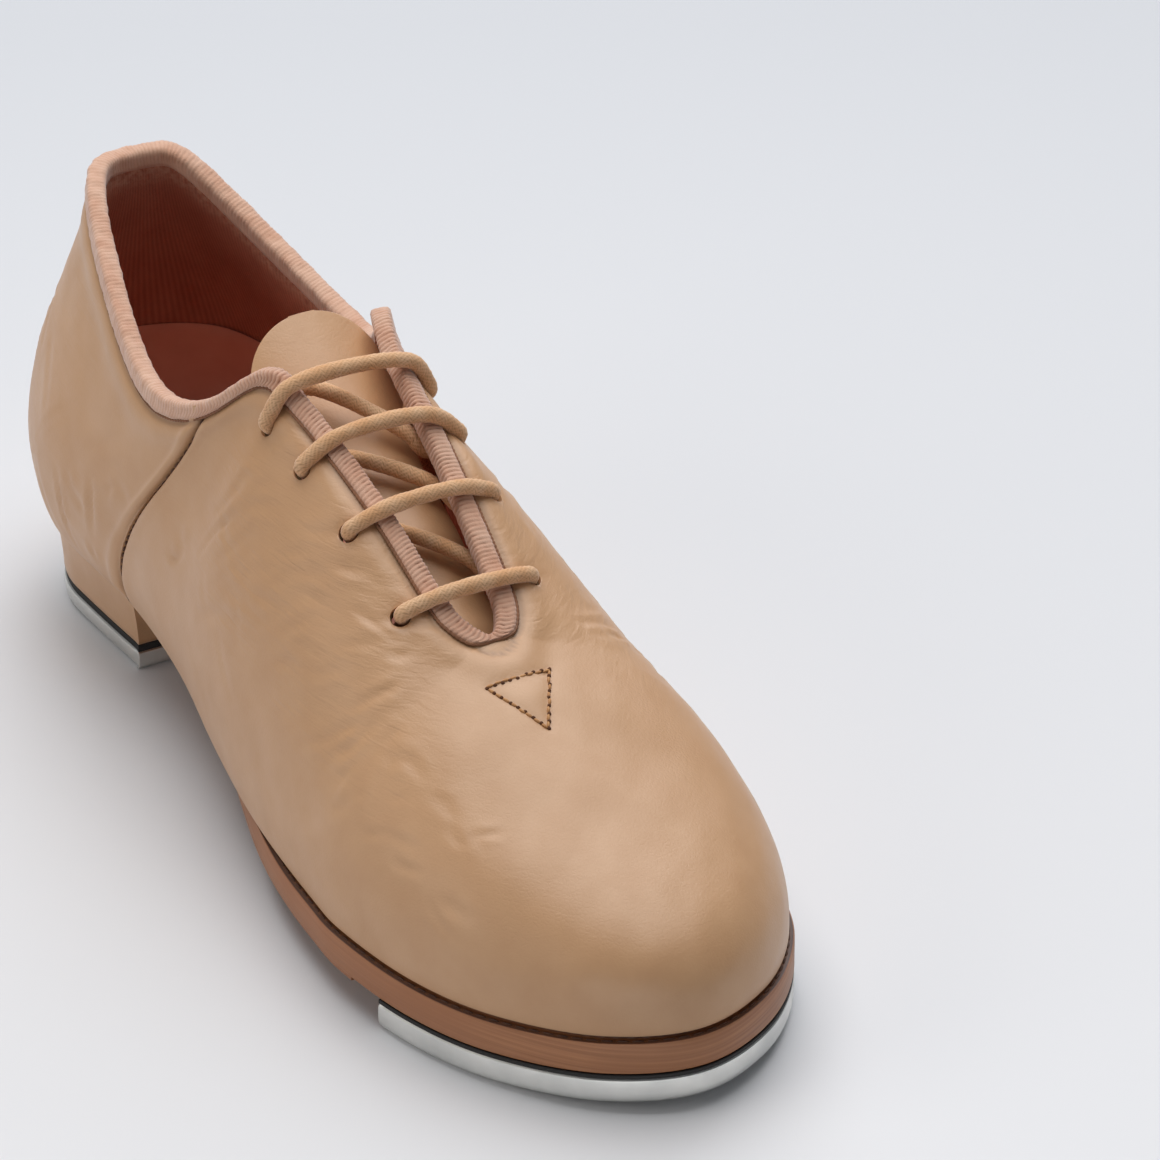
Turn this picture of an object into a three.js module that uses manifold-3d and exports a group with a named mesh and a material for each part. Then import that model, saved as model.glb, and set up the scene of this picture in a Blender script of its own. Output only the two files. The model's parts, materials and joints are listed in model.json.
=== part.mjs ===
// Tap shoe for the right foot: a closed oxford with a covered heel and two metal taps.
// Millimetres. +X runs to the toe, +Y to the inner side of the foot, +Z up from the floor.
import * as THREE from 'three';
import { mergeVertices } from 'three/addons/utils/BufferGeometryUtils.js';
import Module from 'manifold-3d';

const wasm = await Module();
wasm.setup();

// ---- driving dimensions -------------------------------------------------------------------
const upperLength = 250.5;        // back of the heel seat to the toe, along the feather edge
const ballWidth = 84;             // feather edge to feather edge across the ball
const collarHeight = 75;          // heel seat to the top of the back
const soleMargin = 1.2;           // how far the sole stands out past the upper
const gap = 0.3;                  // clearance between pieces that touch

const toeTapThickness = 6;
const tapBoardThickness = 1.1;
const soleThickness = 8.1;
const waistThickness = 3.4;       // outsole at the waist, where it thins towards the heel
const padThickness = 1.8;
const heelTapThickness = 4.6;
const heelLiftThickness = 1.9;
const heelBlockHeight = 14.5;
const heelCoverThickness = 1;
const toeSpring = 2.8;

const leather = 1.2;
const stiffener = 0.8;
const lining = 0.8;
const insoleThickness = 2;
const sockThickness = 1.5;
const shankThickness = 1;
const shankWidth = 11;
const lastingMargin = 9;          // leather turned in under the insole
const bindingThickness = 0.6;
const bindingDepth = 3.4;
const tongueLeather = 1.2;
const tongueLining = 0.8;

const laceRadius = 1.6;
const eyeletRadius = laceRadius + 0.7;
const eyeletInset = 9;            // eyelet centre to the edge of the throat
const laceTipRadius = laceRadius - 0.2;
const laceTipLength = 12;

// The stations below are drawn for these sizes and are scaled to the ones above.
const drawnLength = 250.5;
const drawnBallWidth = 84;
const drawnCollarHeight = 75;
const lengthScale = upperLength / drawnLength;

const toeTapStart = 197 * lengthScale;         // back edge of the toe tap
const padStart = 124 * lengthScale;
const padEnd = 187 * lengthScale;
const heelBreast = 55;            // front face of the heel
const heelRadius = 27.2;
const heelBreastHalfWidth = 25.6;
const heelFlare = 1.6;            // how much wider the heel is at its top
const screwRadius = 1.5;
const screwHeadRadius = 3;
const screwLength = 9;
const heelScrewRadius = 2.2;

// ---- heights that follow from the stack of layers -----------------------------------------
const forefootHeight = toeTapThickness + tapBoardThickness + soleThickness;
const heelHeight = heelTapThickness + heelLiftThickness + heelBlockHeight;
const wallDepth = leather + stiffener + lining + 2 * gap;
const springStart = 205 * lengthScale;         // where the toe starts to rise off the floor
const springReach = 47 * lengthScale;
const waistStart = 60;
const waistEnd = 138;
const rowsPerStation = Math.ceil(3 * lengthScale);
const bindingRowsPerStation = Math.ceil(4 * lengthScale);

// ---- shape of the upper -------------------------------------------------------------------
// Each station is one line up the upper: where it leaves the sole (x, y), where it ends at the
// collar, the throat or the ridge of the toe (x, y and height over the heel seat), then how it
// bows out low down (share of height, millimetres) and how it comes in at the top
// (share of the way out, millimetres, share of height).
const BACK = station(-1, 0, 3.5, 0, 74, 0.33, 15, 0, 2.5, 0.33);
const OUTER_SIDE = [
  BACK,
  station(7, -20, 7, -10, 75, 0.33, 16, 0, 3, 0.33),
  station(28, -29.5, 32, -20, 67.5, 0.33, 15, 0, 4, 0.33),
  station(46, -30, 70, -27.5, 56, 0.33, 11, 0, 4, 0.33),
  station(60, -29.5, 90, -24.5, 62, 0.33, 9, 0.05, 4, 0.3),
  station(88, -31.5, 104, -16.5, 75, 0.33, 10, 0.15, 3, 0.2),
  station(114, -36, 112, -13, 71.5, 0.36, 9, 0.4, 1, 0.06),
  station(144, -40.5, 138, -9, 60, 0.42, 4.5, 0.5, 0, 0),
  station(170, -42.5, 163.5, -5.5, 45.3, 0.5, 3, 0.55, 0, 0),
];
const INNER_SIDE = [
  BACK,
  station(7, 20, 6, 9, 74.3, 0.33, 13, 0, 2.5, 0.33),
  station(28, 28, 28, 19.5, 62.5, 0.33, 11, 0, 3, 0.33),
  station(46, 28, 66, 24.5, 55, 0.33, 9, 0, 4, 0.33),
  station(60, 26, 82, 21.5, 63, 0.33, 9, 0.05, 4, 0.3),
  station(86, 22.5, 94, 15, 75.5, 0.33, 11, 0.15, 3, 0.2),
  station(114, 23.5, 112, 9.5, 71.5, 0.36, 14, 0.4, 3, 0.06),
  station(144, 33, 138, 6.5, 60, 0.42, 10, 0.5, 3, 0),
  station(170, 40.5, 163.5, 4, 45.3, 0.5, 6, 0.55, 2, 0),
];
// In front of the throat both sides meet on the ridge that runs down to the toe.
const RIDGE = [
  new THREE.Vector3(169, -0.5, 42.4),
  new THREE.Vector3(191, 0, 33.9),
  new THREE.Vector3(206, 0.5, 28.4),
  new THREE.Vector3(214, 1, 25.4),
  new THREE.Vector3(217, 1.5, 24.4),
];
const OUTER_TOE = [
  toeStation(184, -42.5, 0, 0.55, 3, 0.58, 0),
  toeStation(205, -38.5, 1, 0.6, 2.5, 0.62, 0),
  toeStation(225, -30, 2, 0.62, 2.5, 0.62, 0),
  toeStation(243, -15.5, 3, 0.62, 2.5, 0.62, 0),
  toeStation(250.5, 2, 4, 0.62, 2.5, 0.62, 0),
];
const INNER_TOE = [
  toeStation(186, 42.5, 0, 0.55, 4, 0.6, 2),
  toeStation(208, 41, 1, 0.6, 3, 0.62, 1),
  toeStation(227, 34.5, 2, 0.62, 2.5, 0.62, 0),
  toeStation(243, 20.5, 3, 0.62, 2.5, 0.62, 0),
  OUTER_TOE[4],
];
const OUTER = [...OUTER_SIDE, ...OUTER_TOE];
const INNER = [...INNER_SIDE, ...INNER_TOE];
const THROAT_END = OUTER_SIDE.length;          // first station on the ridge
const TOE = OUTER.length - 1;                  // station at the tip of the toe
const LOOP = [...OUTER.slice(0, TOE), ...INNER.slice(1).reverse()];
const LOOP_COUNT = LOOP.length;
const SEAM = 4;                                // station of the side seams
const FACING_TOP = 5;                          // station of the top corner of each facing

function station(x, y, topX, topY, rise, bowHeight, bow, share, out, drop) {
  return {
    foot: new THREE.Vector2(x * scaleOf('x'), y * scaleOf('y')),
    top: new THREE.Vector3(topX * scaleOf('x'), topY * scaleOf('y'), rise * scaleOf('z')),
    shape: [bowHeight, bow, share, out, drop],
  };
}

function toeStation(x, y, ridgeIndex, bowHeight, bow, share, out) {
  const ridge = RIDGE[ridgeIndex];
  return station(x, y, ridge.x, ridge.y, ridge.z, bowHeight, bow, share, out, 0);
}

function scaleOf(axis) {
  return { x: lengthScale, y: ballWidth / drawnBallWidth, z: collarHeight / drawnCollarHeight }[axis];
}

function smooth(low, high, value) {
  return THREE.MathUtils.smoothstep(value, low, high);
}

// Height of the seam between sole and upper: flat under the ball, up at the toe and the heel.
function featherHeight(x) {
  const waist = (heelHeight - forefootHeight) * (1 - smooth(waistStart, waistEnd, x / lengthScale));
  return forefootHeight + groundLift(x) + waist;
}

function groundLift(x) {
  return toeSpring * Math.max(0, (x - springStart) / springReach) ** 2;
}

function loopItem(index) {
  return LOOP[((index % LOOP_COUNT) + LOOP_COUNT) % LOOP_COUNT];
}

// Feather edge: a Catmull-Rom curve through the feet of the stations.
function footAt(s) {
  const i = Math.floor(s);
  const f = s - i;
  const [a, b, c, d] = [-1, 0, 1, 2].map((step) => loopItem(i + step).foot);
  const blend = (p, q, r, t) => 0.5 * (2 * q + (r - p) * f + (2 * p - 5 * q + 4 * r - t) * f * f
    + (3 * q - p - 3 * r + t) * f * f * f);
  return new THREE.Vector2(blend(a.x, b.x, c.x, d.x), blend(a.y, b.y, c.y, d.y));
}

function outwardAt(s) {
  const along = footAt(s + 0.01).sub(footAt(s - 0.01)).normalize();
  return new THREE.Vector2(along.y, -along.x);
}

function feather(s, outwards = 0, z = 0) {
  const foot = footAt(s).addScaledVector(outwardAt(s), outwards);
  return new THREE.Vector3(foot.x, foot.y, featherHeight(foot.x) + z);
}

// Monotone interpolation keeps every value between its two stations.
function monotone(before, from, to, after, f) {
  const slope = (p, q) => (p * q <= 0 ? 0 : (2 * p * q) / (p + q));
  const m0 = before === null ? to - from : slope(from - before, to - from);
  const m1 = after === null ? to - from : slope(to - from, after - to);
  return (2 * f ** 3 - 3 * f ** 2 + 1) * from + (f ** 3 - 2 * f ** 2 + f) * m0
    + (3 * f ** 2 - 2 * f ** 3) * to + (f ** 3 - f ** 2) * m1;
}

function onRidge(s) {
  const q = ((s % LOOP_COUNT) + LOOP_COUNT) % LOOP_COUNT;
  return q >= THROAT_END - 1e-9 && q <= LOOP_COUNT - THROAT_END + 1e-9;
}

// Top end of a station line. Both sides of the toe use the same ridge.
function topAt(s) {
  const q = ((s % LOOP_COUNT) + LOOP_COUNT) % LOOP_COUNT;
  if (onRidge(q)) {
    return ridgeAt(TOE - Math.abs(TOE - q) - THROAT_END);
  }
  const i = Math.floor(q);
  const f = q - i;
  const top = (step) => loopItem(i + step).top;
  const beforeEnd = i === LOOP_COUNT - THROAT_END;
  const afterEnd = i + 1 === THROAT_END;
  const axisValue = (axis) => {
    const round = axis !== 'y';
    const first = top(0)[axis];
    const last = top(1)[axis];
    const before = beforeEnd ? (round ? first : null) : top(-1)[axis];
    const after = afterEnd ? (round ? last : null) : top(2)[axis];
    return monotone(before, first, last, after, f);
  };
  return new THREE.Vector3(axisValue('x'), axisValue('y'), axisValue('z') + heelHeight);
}

function ridgeAt(q) {
  const last = RIDGE.length - 1;
  const i = Math.min(last - 1, Math.max(0, Math.floor(q)));
  const f = Math.min(1, Math.max(0, q - i));
  const axisValue = (axis) => monotone(i > 0 ? RIDGE[i - 1][axis] : null, RIDGE[i][axis],
    RIDGE[i + 1][axis], i + 2 <= last ? RIDGE[i + 2][axis] : null, f) * scaleOf(axis);
  return new THREE.Vector3(axisValue('x'), axisValue('y'), axisValue('z') + heelHeight);
}

function ridgeSlope(x) {
  const points = RIDGE.map((p) => [p.x * scaleOf('x'), p.z * scaleOf('z')]);
  const slopes = points.slice(1).map((p, k) => (p[1] - points[k][1]) / (p[0] - points[k][0]));
  const middles = points.slice(1).map((p, k) => (p[0] + points[k][0]) / 2);
  let k = 0;
  while (k < middles.length - 2 && x > middles[k + 1]) {
    k += 1;
  }
  const f = THREE.MathUtils.clamp((x - middles[k]) / (middles[k + 1] - middles[k]), 0, 1);
  return THREE.MathUtils.lerp(slopes[k], slopes[k + 1], f);
}

function shapeAt(s) {
  const i = Math.floor(s);
  return loopItem(i).shape.map((value, k) => monotone(loopItem(i - 1).shape[k], value,
    loopItem(i + 1).shape[k], loopItem(i + 2).shape[k], s - i));
}

// Outer face of the upper: s runs round the shoe, t from the sole (0) to the top (1).
function upperPoint(s, t) {
  const foot = feather(s);
  const top = topAt(s);
  const out = outwardAt(s);
  const [bowHeight, bow, share, outTop, drop] = shapeAt(s);
  const rise = top.z - foot.z;
  const low = new THREE.Vector3(foot.x + out.x * bow, foot.y + out.y * bow, foot.z + bowHeight * rise);
  const high = new THREE.Vector3(
    top.x + share * (foot.x - top.x) + out.x * outTop,
    top.y + share * (foot.y - top.y) + out.y * outTop,
    top.z - drop * rise,
  );
  high.z += Math.min(1, share / 0.5) * ridgeSlope(top.x) * (high.x - top.x);
  const u = 1 - t;
  return foot.multiplyScalar(u ** 3)
    .addScaledVector(low, 3 * t * u * u)
    .addScaledVector(high, 3 * t * t * u)
    .addScaledVector(top, t ** 3);
}

function upperNormal(s, t) {
  if (t > 0.999 && onRidge(s)) {
    const slope = ridgeSlope(topAt(s).x);
    return new THREE.Vector3(-slope, 0, 1).normalize();
  }
  const near = Math.min(t, 0.985);
  const alongS = upperPoint(s + 0.02, near).sub(upperPoint(s - 0.02, near));
  const alongT = upperPoint(s, near + 0.01).sub(upperPoint(s, near - 0.01));
  return alongS.cross(alongT).normalize();
}

function offsetPoint(s, t, depth) {
  return upperPoint(s, t).addScaledVector(upperNormal(s, t), -depth);
}

// Parameter t at a given distance below the top edge.
function belowEdge(s, distance) {
  let length = 0;
  let t = 1;
  let last = upperPoint(s, 1);
  while (length < distance && t > 0.02) {
    t -= 0.004;
    const next = upperPoint(s, t);
    length += next.distanceTo(last);
    last = next;
  }
  return t;
}

// ---- solids -------------------------------------------------------------------------------
function solidFrom(positions, indices) {
  const raw = new THREE.BufferGeometry();
  raw.setAttribute('position', new THREE.Float32BufferAttribute(positions, 3));
  raw.setIndex(indices);
  const merged = mergeVertices(raw, 1e-4);
  const source = merged.index.array;
  const kept = [];
  for (let k = 0; k < source.length; k += 3) {
    const [a, b, c] = [source[k], source[k + 1], source[k + 2]];
    if (a !== b && b !== c && c !== a) {
      kept.push(a, b, c);
    }
  }
  merged.setIndex(kept);
  return signedVolume(merged) < 0 ? flipped(merged) : merged;
}

function signedVolume(geometry) {
  const p = geometry.attributes.position;
  const index = geometry.index.array;
  const corner = (k) => new THREE.Vector3().fromBufferAttribute(p, index[k]);
  let volume = 0;
  for (let k = 0; k < index.length; k += 3) {
    volume += corner(k).dot(corner(k + 1).cross(corner(k + 2))) / 6;
  }
  return volume;
}

function flipped(geometry) {
  const index = Array.from(geometry.index.array);
  for (let k = 0; k < index.length; k += 3) {
    [index[k + 1], index[k + 2]] = [index[k + 2], index[k + 1]];
  }
  geometry.setIndex(index);
  return geometry;
}

// A thick sheet between two grids of points; rows may close on themselves, and the last
// column of each row may be shared between the two sides of the toe.
function sheet(outer, inner, { closed = false, openTop = () => true } = {}) {
  const rows = outer.length;
  const columns = outer[0].length;
  const positions = [...outer, ...inner].flat().flatMap((p) => [p.x, p.y, p.z]);
  const at = (side, i, j) => (side * rows + (i % rows)) * columns + j;
  const indices = [];
  const quad = (a, b, c, d) => indices.push(a, b, c, a, c, d);
  const lastRow = closed ? rows : rows - 1;
  for (let i = 0; i < lastRow; i += 1) {
    for (let j = 0; j < columns - 1; j += 1) {
      quad(at(0, i, j), at(0, i + 1, j), at(0, i + 1, j + 1), at(0, i, j + 1));
      quad(at(1, i, j), at(1, i, j + 1), at(1, i + 1, j + 1), at(1, i + 1, j));
    }
    quad(at(0, i, 0), at(1, i, 0), at(1, i + 1, 0), at(0, i + 1, 0));
    if (openTop(i)) {
      const j = columns - 1;
      quad(at(0, i, j), at(0, i + 1, j), at(1, i + 1, j), at(1, i, j));
    }
  }
  if (!closed) {
    for (let j = 0; j < columns - 1; j += 1) {
      quad(at(0, 0, j), at(0, 0, j + 1), at(1, 0, j + 1), at(1, 0, j));
      const i = rows - 1;
      quad(at(0, i, j), at(1, i, j), at(1, i, j + 1), at(0, i, j + 1));
    }
  }
  return solidFrom(positions, indices);
}

// A solid skinned over loops of points, capped by strips between the loop's two halves.
function loft(loops, startTip = false) {
  const count = loops[0].length;
  const positions = loops.flat().flatMap((p) => [p.x, p.y, p.z]);
  const indices = [];
  const side = (k, i) => k * count + (i % count);
  for (let k = 0; k < loops.length - 1; k += 1) {
    for (let i = 0; i < count; i += 1) {
      indices.push(side(k, i), side(k, i + 1), side(k + 1, i + 1));
      indices.push(side(k, i), side(k + 1, i + 1), side(k + 1, i));
    }
  }
  const top = loops.length - 1;
  const mate = (i) => (startTip ? count : count - 1) - i;
  for (let i = 0; i + 1 <= mate(i + 1); i += 1) {
    indices.push(side(0, i), side(0, mate(i)), side(0, mate(i + 1)));
    indices.push(side(0, i), side(0, mate(i + 1)), side(0, i + 1));
    indices.push(side(top, i), side(top, mate(i + 1)), side(top, mate(i)));
    indices.push(side(top, i), side(top, i + 1), side(top, mate(i + 1)));
  }
  return solidFrom(positions, indices);
}

function inset(loop, distance) {
  return loop.map((p, i) => {
    const before = loop[(i + loop.length - 1) % loop.length];
    const after = loop[(i + 1) % loop.length];
    const first = edgeNormal(before, p);
    const second = edgeNormal(p, after);
    const both = first.clone().add(second);
    const reach = distance / Math.max(0.5, both.lengthSq() / 2);
    return new THREE.Vector2(p.x - both.x * reach, p.y - both.y * reach);
  });
}

// Outward side of an edge on a loop that runs anticlockwise seen from above.
function edgeNormal(from, to) {
  const edge = to.clone().sub(from);
  if (edge.length() < 1e-6) {
    return new THREE.Vector2(0, 0);
  }
  return new THREE.Vector2(edge.y, -edge.x).normalize();
}

function level(loop, height) {
  const heightAt = typeof height === 'function' ? height : () => height;
  return loop.map((p) => new THREE.Vector3(p.x, p.y, heightAt(p.x)));
}

function toManifold(geometry) {
  const clean = geometry.clone();
  clean.deleteAttribute('normal');
  clean.deleteAttribute('uv');
  const merged = mergeVertices(clean, 1e-4);
  const vertProperties = new Float32Array(merged.attributes.position.array);
  const triVerts = new Uint32Array(merged.index.array);
  return new wasm.Manifold(new wasm.Mesh({ numProp: 3, vertProperties, triVerts }));
}

function toGeometry(solid) {
  const mesh = solid.getMesh();
  const geometry = new THREE.BufferGeometry();
  geometry.setAttribute('position', new THREE.BufferAttribute(new Float32Array(mesh.vertProperties), 3));
  geometry.setIndex(new THREE.BufferAttribute(new Uint32Array(mesh.triVerts), 1));
  return geometry;
}

function cut(geometry, tools) {
  let solid = toManifold(geometry);
  for (const tool of tools) {
    solid = solid.subtract(toManifold(tool));
  }
  return toGeometry(solid);
}

function pin(radius, from, to, sides = 16) {
  const axis = to.clone().sub(from);
  const geometry = new THREE.CylinderGeometry(radius, radius, axis.length(), sides);
  const along = axis.clone().normalize();
  const turn = new THREE.Quaternion().setFromUnitVectors(new THREE.Vector3(0, 1, 0), along);
  geometry.applyQuaternion(turn);
  geometry.translate(...from.clone().add(to).multiplyScalar(0.5));
  return geometry;
}

// ---- rows of station numbers --------------------------------------------------------------
function steps(from, to, perStation) {
  const rows = [];
  const total = Math.max(1, Math.round((to - from) * perStation));
  for (let k = 0; k <= total; k += 1) {
    rows.push(from + ((to - from) * k) / total);
  }
  return rows;
}

const seamStart = SEAM;
const seamEnd = LOOP_COUNT - SEAM;
const seamGap = 0.012;            // station share that leaves the gap between two leathers

// Stations at even steps, drawn in a little at both ends for the seam.
function stationsBetween(from, to) {
  const stations = steps(from, to, rowsPerStation);
  stations[0] += seamGap;
  stations[stations.length - 1] -= seamGap;
  return stations;
}

// Leather of the upper with its lasting margin turned in under the insole.
function lastedLeather(stations, closedOverRidge) {
  const outer = [];
  const inner = [];
  for (const s of stations) {
    const bottom = feather(s, 0, gap);
    const margin = feather(s, -lastingMargin, gap);
    const outerLine = [margin, bottom];
    const innerLine = [margin.clone().setZ(margin.z + leather), feather(s, -leather, gap + leather)];
    for (const t of rowsAt(s)) {
      outerLine.push(upperPoint(s, t));
      innerLine.push(offsetPoint(s, t, leather));
    }
    outer.push(outerLine);
    inner.push(innerLine);
  }
  const openTop = (i) => !(closedOverRidge && onRidge(stations[i]) && onRidge(stations[i + 1]));
  return sheet(outer, inner, { openTop });
}

// Rows up a station line: even shares of the wall, then the band that carries the eyelets.
const stayLow = 14.5;             // lower edge of a facing stay, from the edge of the throat
const stayHigh = 5;
const wallShares = [0.09, 0.22, 0.38, 0.58, 0.79, 1];
const rowCache = new Map();

function rowsAt(s) {
  if (!rowCache.has(s)) {
    const shoulder = belowEdge(s, stayLow);
    const wall = wallShares.map((share) => share * shoulder);
    rowCache.set(s, [...wall, belowEdge(s, eyeletInset), belowEdge(s, stayHigh), 1]);
  }
  return rowCache.get(s);
}

function vamp() {
  return cut(lastedLeather(stationsBetween(seamStart, seamEnd), true), eyeletTools());
}

function heelQuarter() {
  return lastedLeather(stationsBetween(-SEAM, SEAM), false);
}

function liningSheet(stations, closedOverRidge) {
  const outer = stations.map((s) => rowsAt(s).map((t) => offsetPoint(s, t, wallDepth - lining)));
  const inner = stations.map((s) => rowsAt(s).map((t) => offsetPoint(s, t, wallDepth)));
  const openTop = (i) => !(closedOverRidge && onRidge(stations[i]) && onRidge(stations[i + 1]));
  return sheet(outer, inner, { openTop });
}

function vampLining() {
  return cut(liningSheet(stationsBetween(seamStart, seamEnd), true), eyeletTools());
}

function quarterLining() {
  return liningSheet(stationsBetween(-SEAM, SEAM), false);
}

const counterEnd = 3;             // station where the heel counter ends on each side
const puffStart = THROAT_END + 4 / 3;
const stayStart = FACING_TOP + 1 / 3;
const stayEnd = THROAT_END - 1;
const shoulderRow = wallShares.length - 1;

// Board between leather and lining, over some of the rows from the sole to the top.
function stiffenerSheet(stations, firstRow, endRow, closedOverRidge) {
  const depth = leather + gap;
  const rows = (s) => rowsAt(s).slice(firstRow, endRow);
  const outer = stations.map((s) => rows(s).map((t) => offsetPoint(s, t, depth)));
  const inner = stations.map((s) => rows(s).map((t) => offsetPoint(s, t, depth + stiffener)));
  const openTop = () => !closedOverRidge;
  return sheet(outer, inner, { openTop });
}

function heelCounter() {
  return stiffenerSheet(steps(-counterEnd, counterEnd, rowsPerStation), 0, shoulderRow, false);
}

function toePuff() {
  const stations = steps(puffStart, LOOP_COUNT - puffStart, rowsPerStation);
  return stiffenerSheet(stations, 0, shoulderRow + 4, true);
}

// A reinforcing strip under each row of eyelets.
function facingStay(from, to) {
  const stations = steps(from, to, rowsPerStation);
  return cut(stiffenerSheet(stations, shoulderRow, shoulderRow + 3, false), eyeletTools());
}

// ---- eyelets and lace ---------------------------------------------------------------------
const outerEyelets = [5.75, 6.42, 7.02, 7.68];
const innerEyelets = [5.95, 6.5, 7.05, 7.68].map((s) => LOOP_COUNT - s);
const punchInside = 8;            // how far an eyelet's punch reaches on each side of the leather
const punchOutside = 4;

function eyelet(s, depth) {
  return offsetPoint(s, belowEdge(s, eyeletInset), depth);
}

function eyeletTools() {
  return [...outerEyelets, ...innerEyelets].map((s) => (
    pin(eyeletRadius, eyelet(s, punchInside), eyelet(s, -punchOutside), 12)));
}

// Throat edge station whose edge point lies nearest to the line between two points.
function edgeStationUnder(from, to, isOuter) {
  const line = new THREE.Line3(from.clone().setZ(0), to.clone().setZ(0));
  const nearest = new THREE.Vector3();
  let best = null;
  for (const s of steps(FACING_TOP + 0.2, THROAT_END - 0.1, 40)) {
    const side = isOuter ? s : LOOP_COUNT - s;
    const edge = topAt(side).setZ(0);
    line.closestPointToPoint(edge, true, nearest);
    const distance = nearest.distanceTo(edge);
    if (!best || distance < best.distance) {
      best = { side, distance };
    }
  }
  return best.side;
}

function towards(point, target, distance) {
  return point.clone().add(target.clone().sub(point).normalize().multiplyScalar(distance));
}

const laceOver = laceRadius + gap + bindingThickness + 1;      // height of a bar over the edge
const laceUnder = wallDepth + bindingThickness + laceRadius + 2.2 * gap;       // depth inside
const laceBend = 2.4;             // from an eyelet to where the lace has turned along the leather
const holeInside = wallDepth + 0.6;
const holeOutside = 0.4;
const barHeight = laceRadius + 0.8;            // over the leather beside an eyelet
const barDepth = laceUnder + 0.6;
const tailBend = 10;              // below the eyelet, where each end turns down inside the facing
const tailBendDepth = laceUnder + 0.3;
const tailEnd = 22;
const tailEndDepth = laceUnder + 2;

// One lace from the inner side to the outer side above the facings, and back below them.
function lacePoints() {
  const points = laceTail(innerEyelets[0]).reverse();
  innerEyelets.forEach((inner, k) => {
    const outer = outerEyelets[k];
    points.push(eyelet(inner, holeInside), eyelet(inner, -holeOutside));
    points.push(...overBar(inner, outer));
    points.push(eyelet(outer, -holeOutside), eyelet(outer, holeInside));
    if (k < innerEyelets.length - 1) {
      points.push(...underBar(outer, innerEyelets[k + 1]));
    }
  });
  points.push(...laceTail(outerEyelets.at(-1)));
  return points;
}

function laceTail(s) {
  return [
    offsetPoint(s, belowEdge(s, eyeletInset + tailBend), tailBendDepth),
    offsetPoint(s, belowEdge(s, eyeletInset + tailEnd), tailEndDepth),
  ];
}

function overBar(inner, outer) {
  const from = eyelet(inner, -barHeight);
  const to = eyelet(outer, -barHeight);
  const innerEdge = edgeStationUnder(from, to, false);
  const outerEdge = edgeStationUnder(from, to, true);
  const overInner = topAt(innerEdge).addScaledVector(upperNormal(innerEdge, 1), laceOver);
  const overOuter = topAt(outerEdge).addScaledVector(upperNormal(outerEdge, 1), laceOver);
  return [
    towards(from, overInner, laceBend), overInner,
    overOuter, towards(to, overOuter, laceBend),
  ];
}

function underBar(outer, inner) {
  const from = eyelet(outer, barDepth);
  const to = eyelet(inner, barDepth);
  const outerEdge = edgeStationUnder(from, to, true);
  const innerEdge = edgeStationUnder(from, to, false);
  const underOuter = topAt(outerEdge).addScaledVector(upperNormal(outerEdge, 1), -laceUnder);
  const underInner = topAt(innerEdge).addScaledVector(upperNormal(innerEdge, 1), -laceUnder);
  return [
    towards(from, underOuter, laceBend), underOuter,
    underInner, towards(to, underInner, laceBend),
  ];
}

// The curve's own points set the rings, so they sit close together where the lace turns.
class LaceCurve extends THREE.CatmullRomCurve3 {
  getPointAt(u, target) {
    return this.getPoint(u, target);
  }

  getTangentAt(u, target) {
    return this.getTangent(u, target);
  }
}

function cord(points, radius, ringsPerPoint) {
  const outline = new THREE.Shape();
  outline.absarc(0, 0, radius, 0, 2 * Math.PI, false);
  return new THREE.ExtrudeGeometry(outline, {
    extrudePath: new LaceCurve(points, false, 'centripetal'),
    steps: (points.length - 1) * ringsPerPoint,
    curveSegments: 4,
  });
}

function lace() {
  return cord(lacePoints(), laceRadius, 2);
}

function laceTip(end, beforeEnd) {
  const along = end.clone().sub(beforeEnd).normalize();
  const start = end.clone().addScaledVector(along, gap);
  return pin(laceTipRadius, start, start.clone().addScaledVector(along, laceTipLength), 10);
}

// ---- binding, tongue ----------------------------------------------------------------------
// Folded tape over the edge of the collar, both facings and the bottom of the throat.
function toplineBinding() {
  const stations = steps(-THROAT_END, THROAT_END, bindingRowsPerStation).slice(0, -1);
  const near = gap;
  const far = gap + bindingThickness;
  const corner = bindingThickness / 2;
  const rings = stations.map((s) => {
    const edge = topAt(s);
    const along = topAt(s + 0.06).sub(topAt(s - 0.06)).normalize();
    const normal = upperNormal(s, 1);
    const up = normal.clone().cross(along).normalize();
    const foot = bindingFoot(s);
    const at = (out, rise) => edge.clone().addScaledVector(normal, out).addScaledVector(up, rise);
    const low = (out) => foot.point.clone().addScaledVector(foot.normal, out);
    return [
      low(far), at(far, near), at(far - corner, far), at(-wallDepth - far + corner, far),
      at(-wallDepth - far, near), low(-wallDepth - far), low(-wallDepth - near),
      at(-wallDepth - near, near), at(near, near), low(near),
    ];
  });
  return ringOf(rings);
}

// Where the tape's two legs end on the upper, a binding depth from the edge.
function bindingFoot(s) {
  if (!onRidge(s)) {
    const t = belowEdge(s, bindingDepth);
    return { point: upperPoint(s, t), normal: upperNormal(s, t) };
  }
  const start = ridgeAt(0);
  const reach = bindingDepth / ridgeAt(1).distanceTo(start);
  const point = ridgeAt(reach);
  return { point, normal: new THREE.Vector3(-ridgeSlope(point.x), 0, 1).normalize() };
}

function ringOf(rings) {
  const count = rings[0].length;
  const positions = rings.flat().flatMap((p) => [p.x, p.y, p.z]);
  const indices = [];
  for (let i = 0; i < rings.length; i += 1) {
    const next = (i + 1) % rings.length;
    for (let j = 0; j < count; j += 1) {
      const step = (j + 1) % count;
      indices.push(i * count + j, next * count + j, next * count + step);
      indices.push(i * count + j, next * count + step, i * count + step);
    }
  }
  return solidFrom(positions, indices);
}

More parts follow.
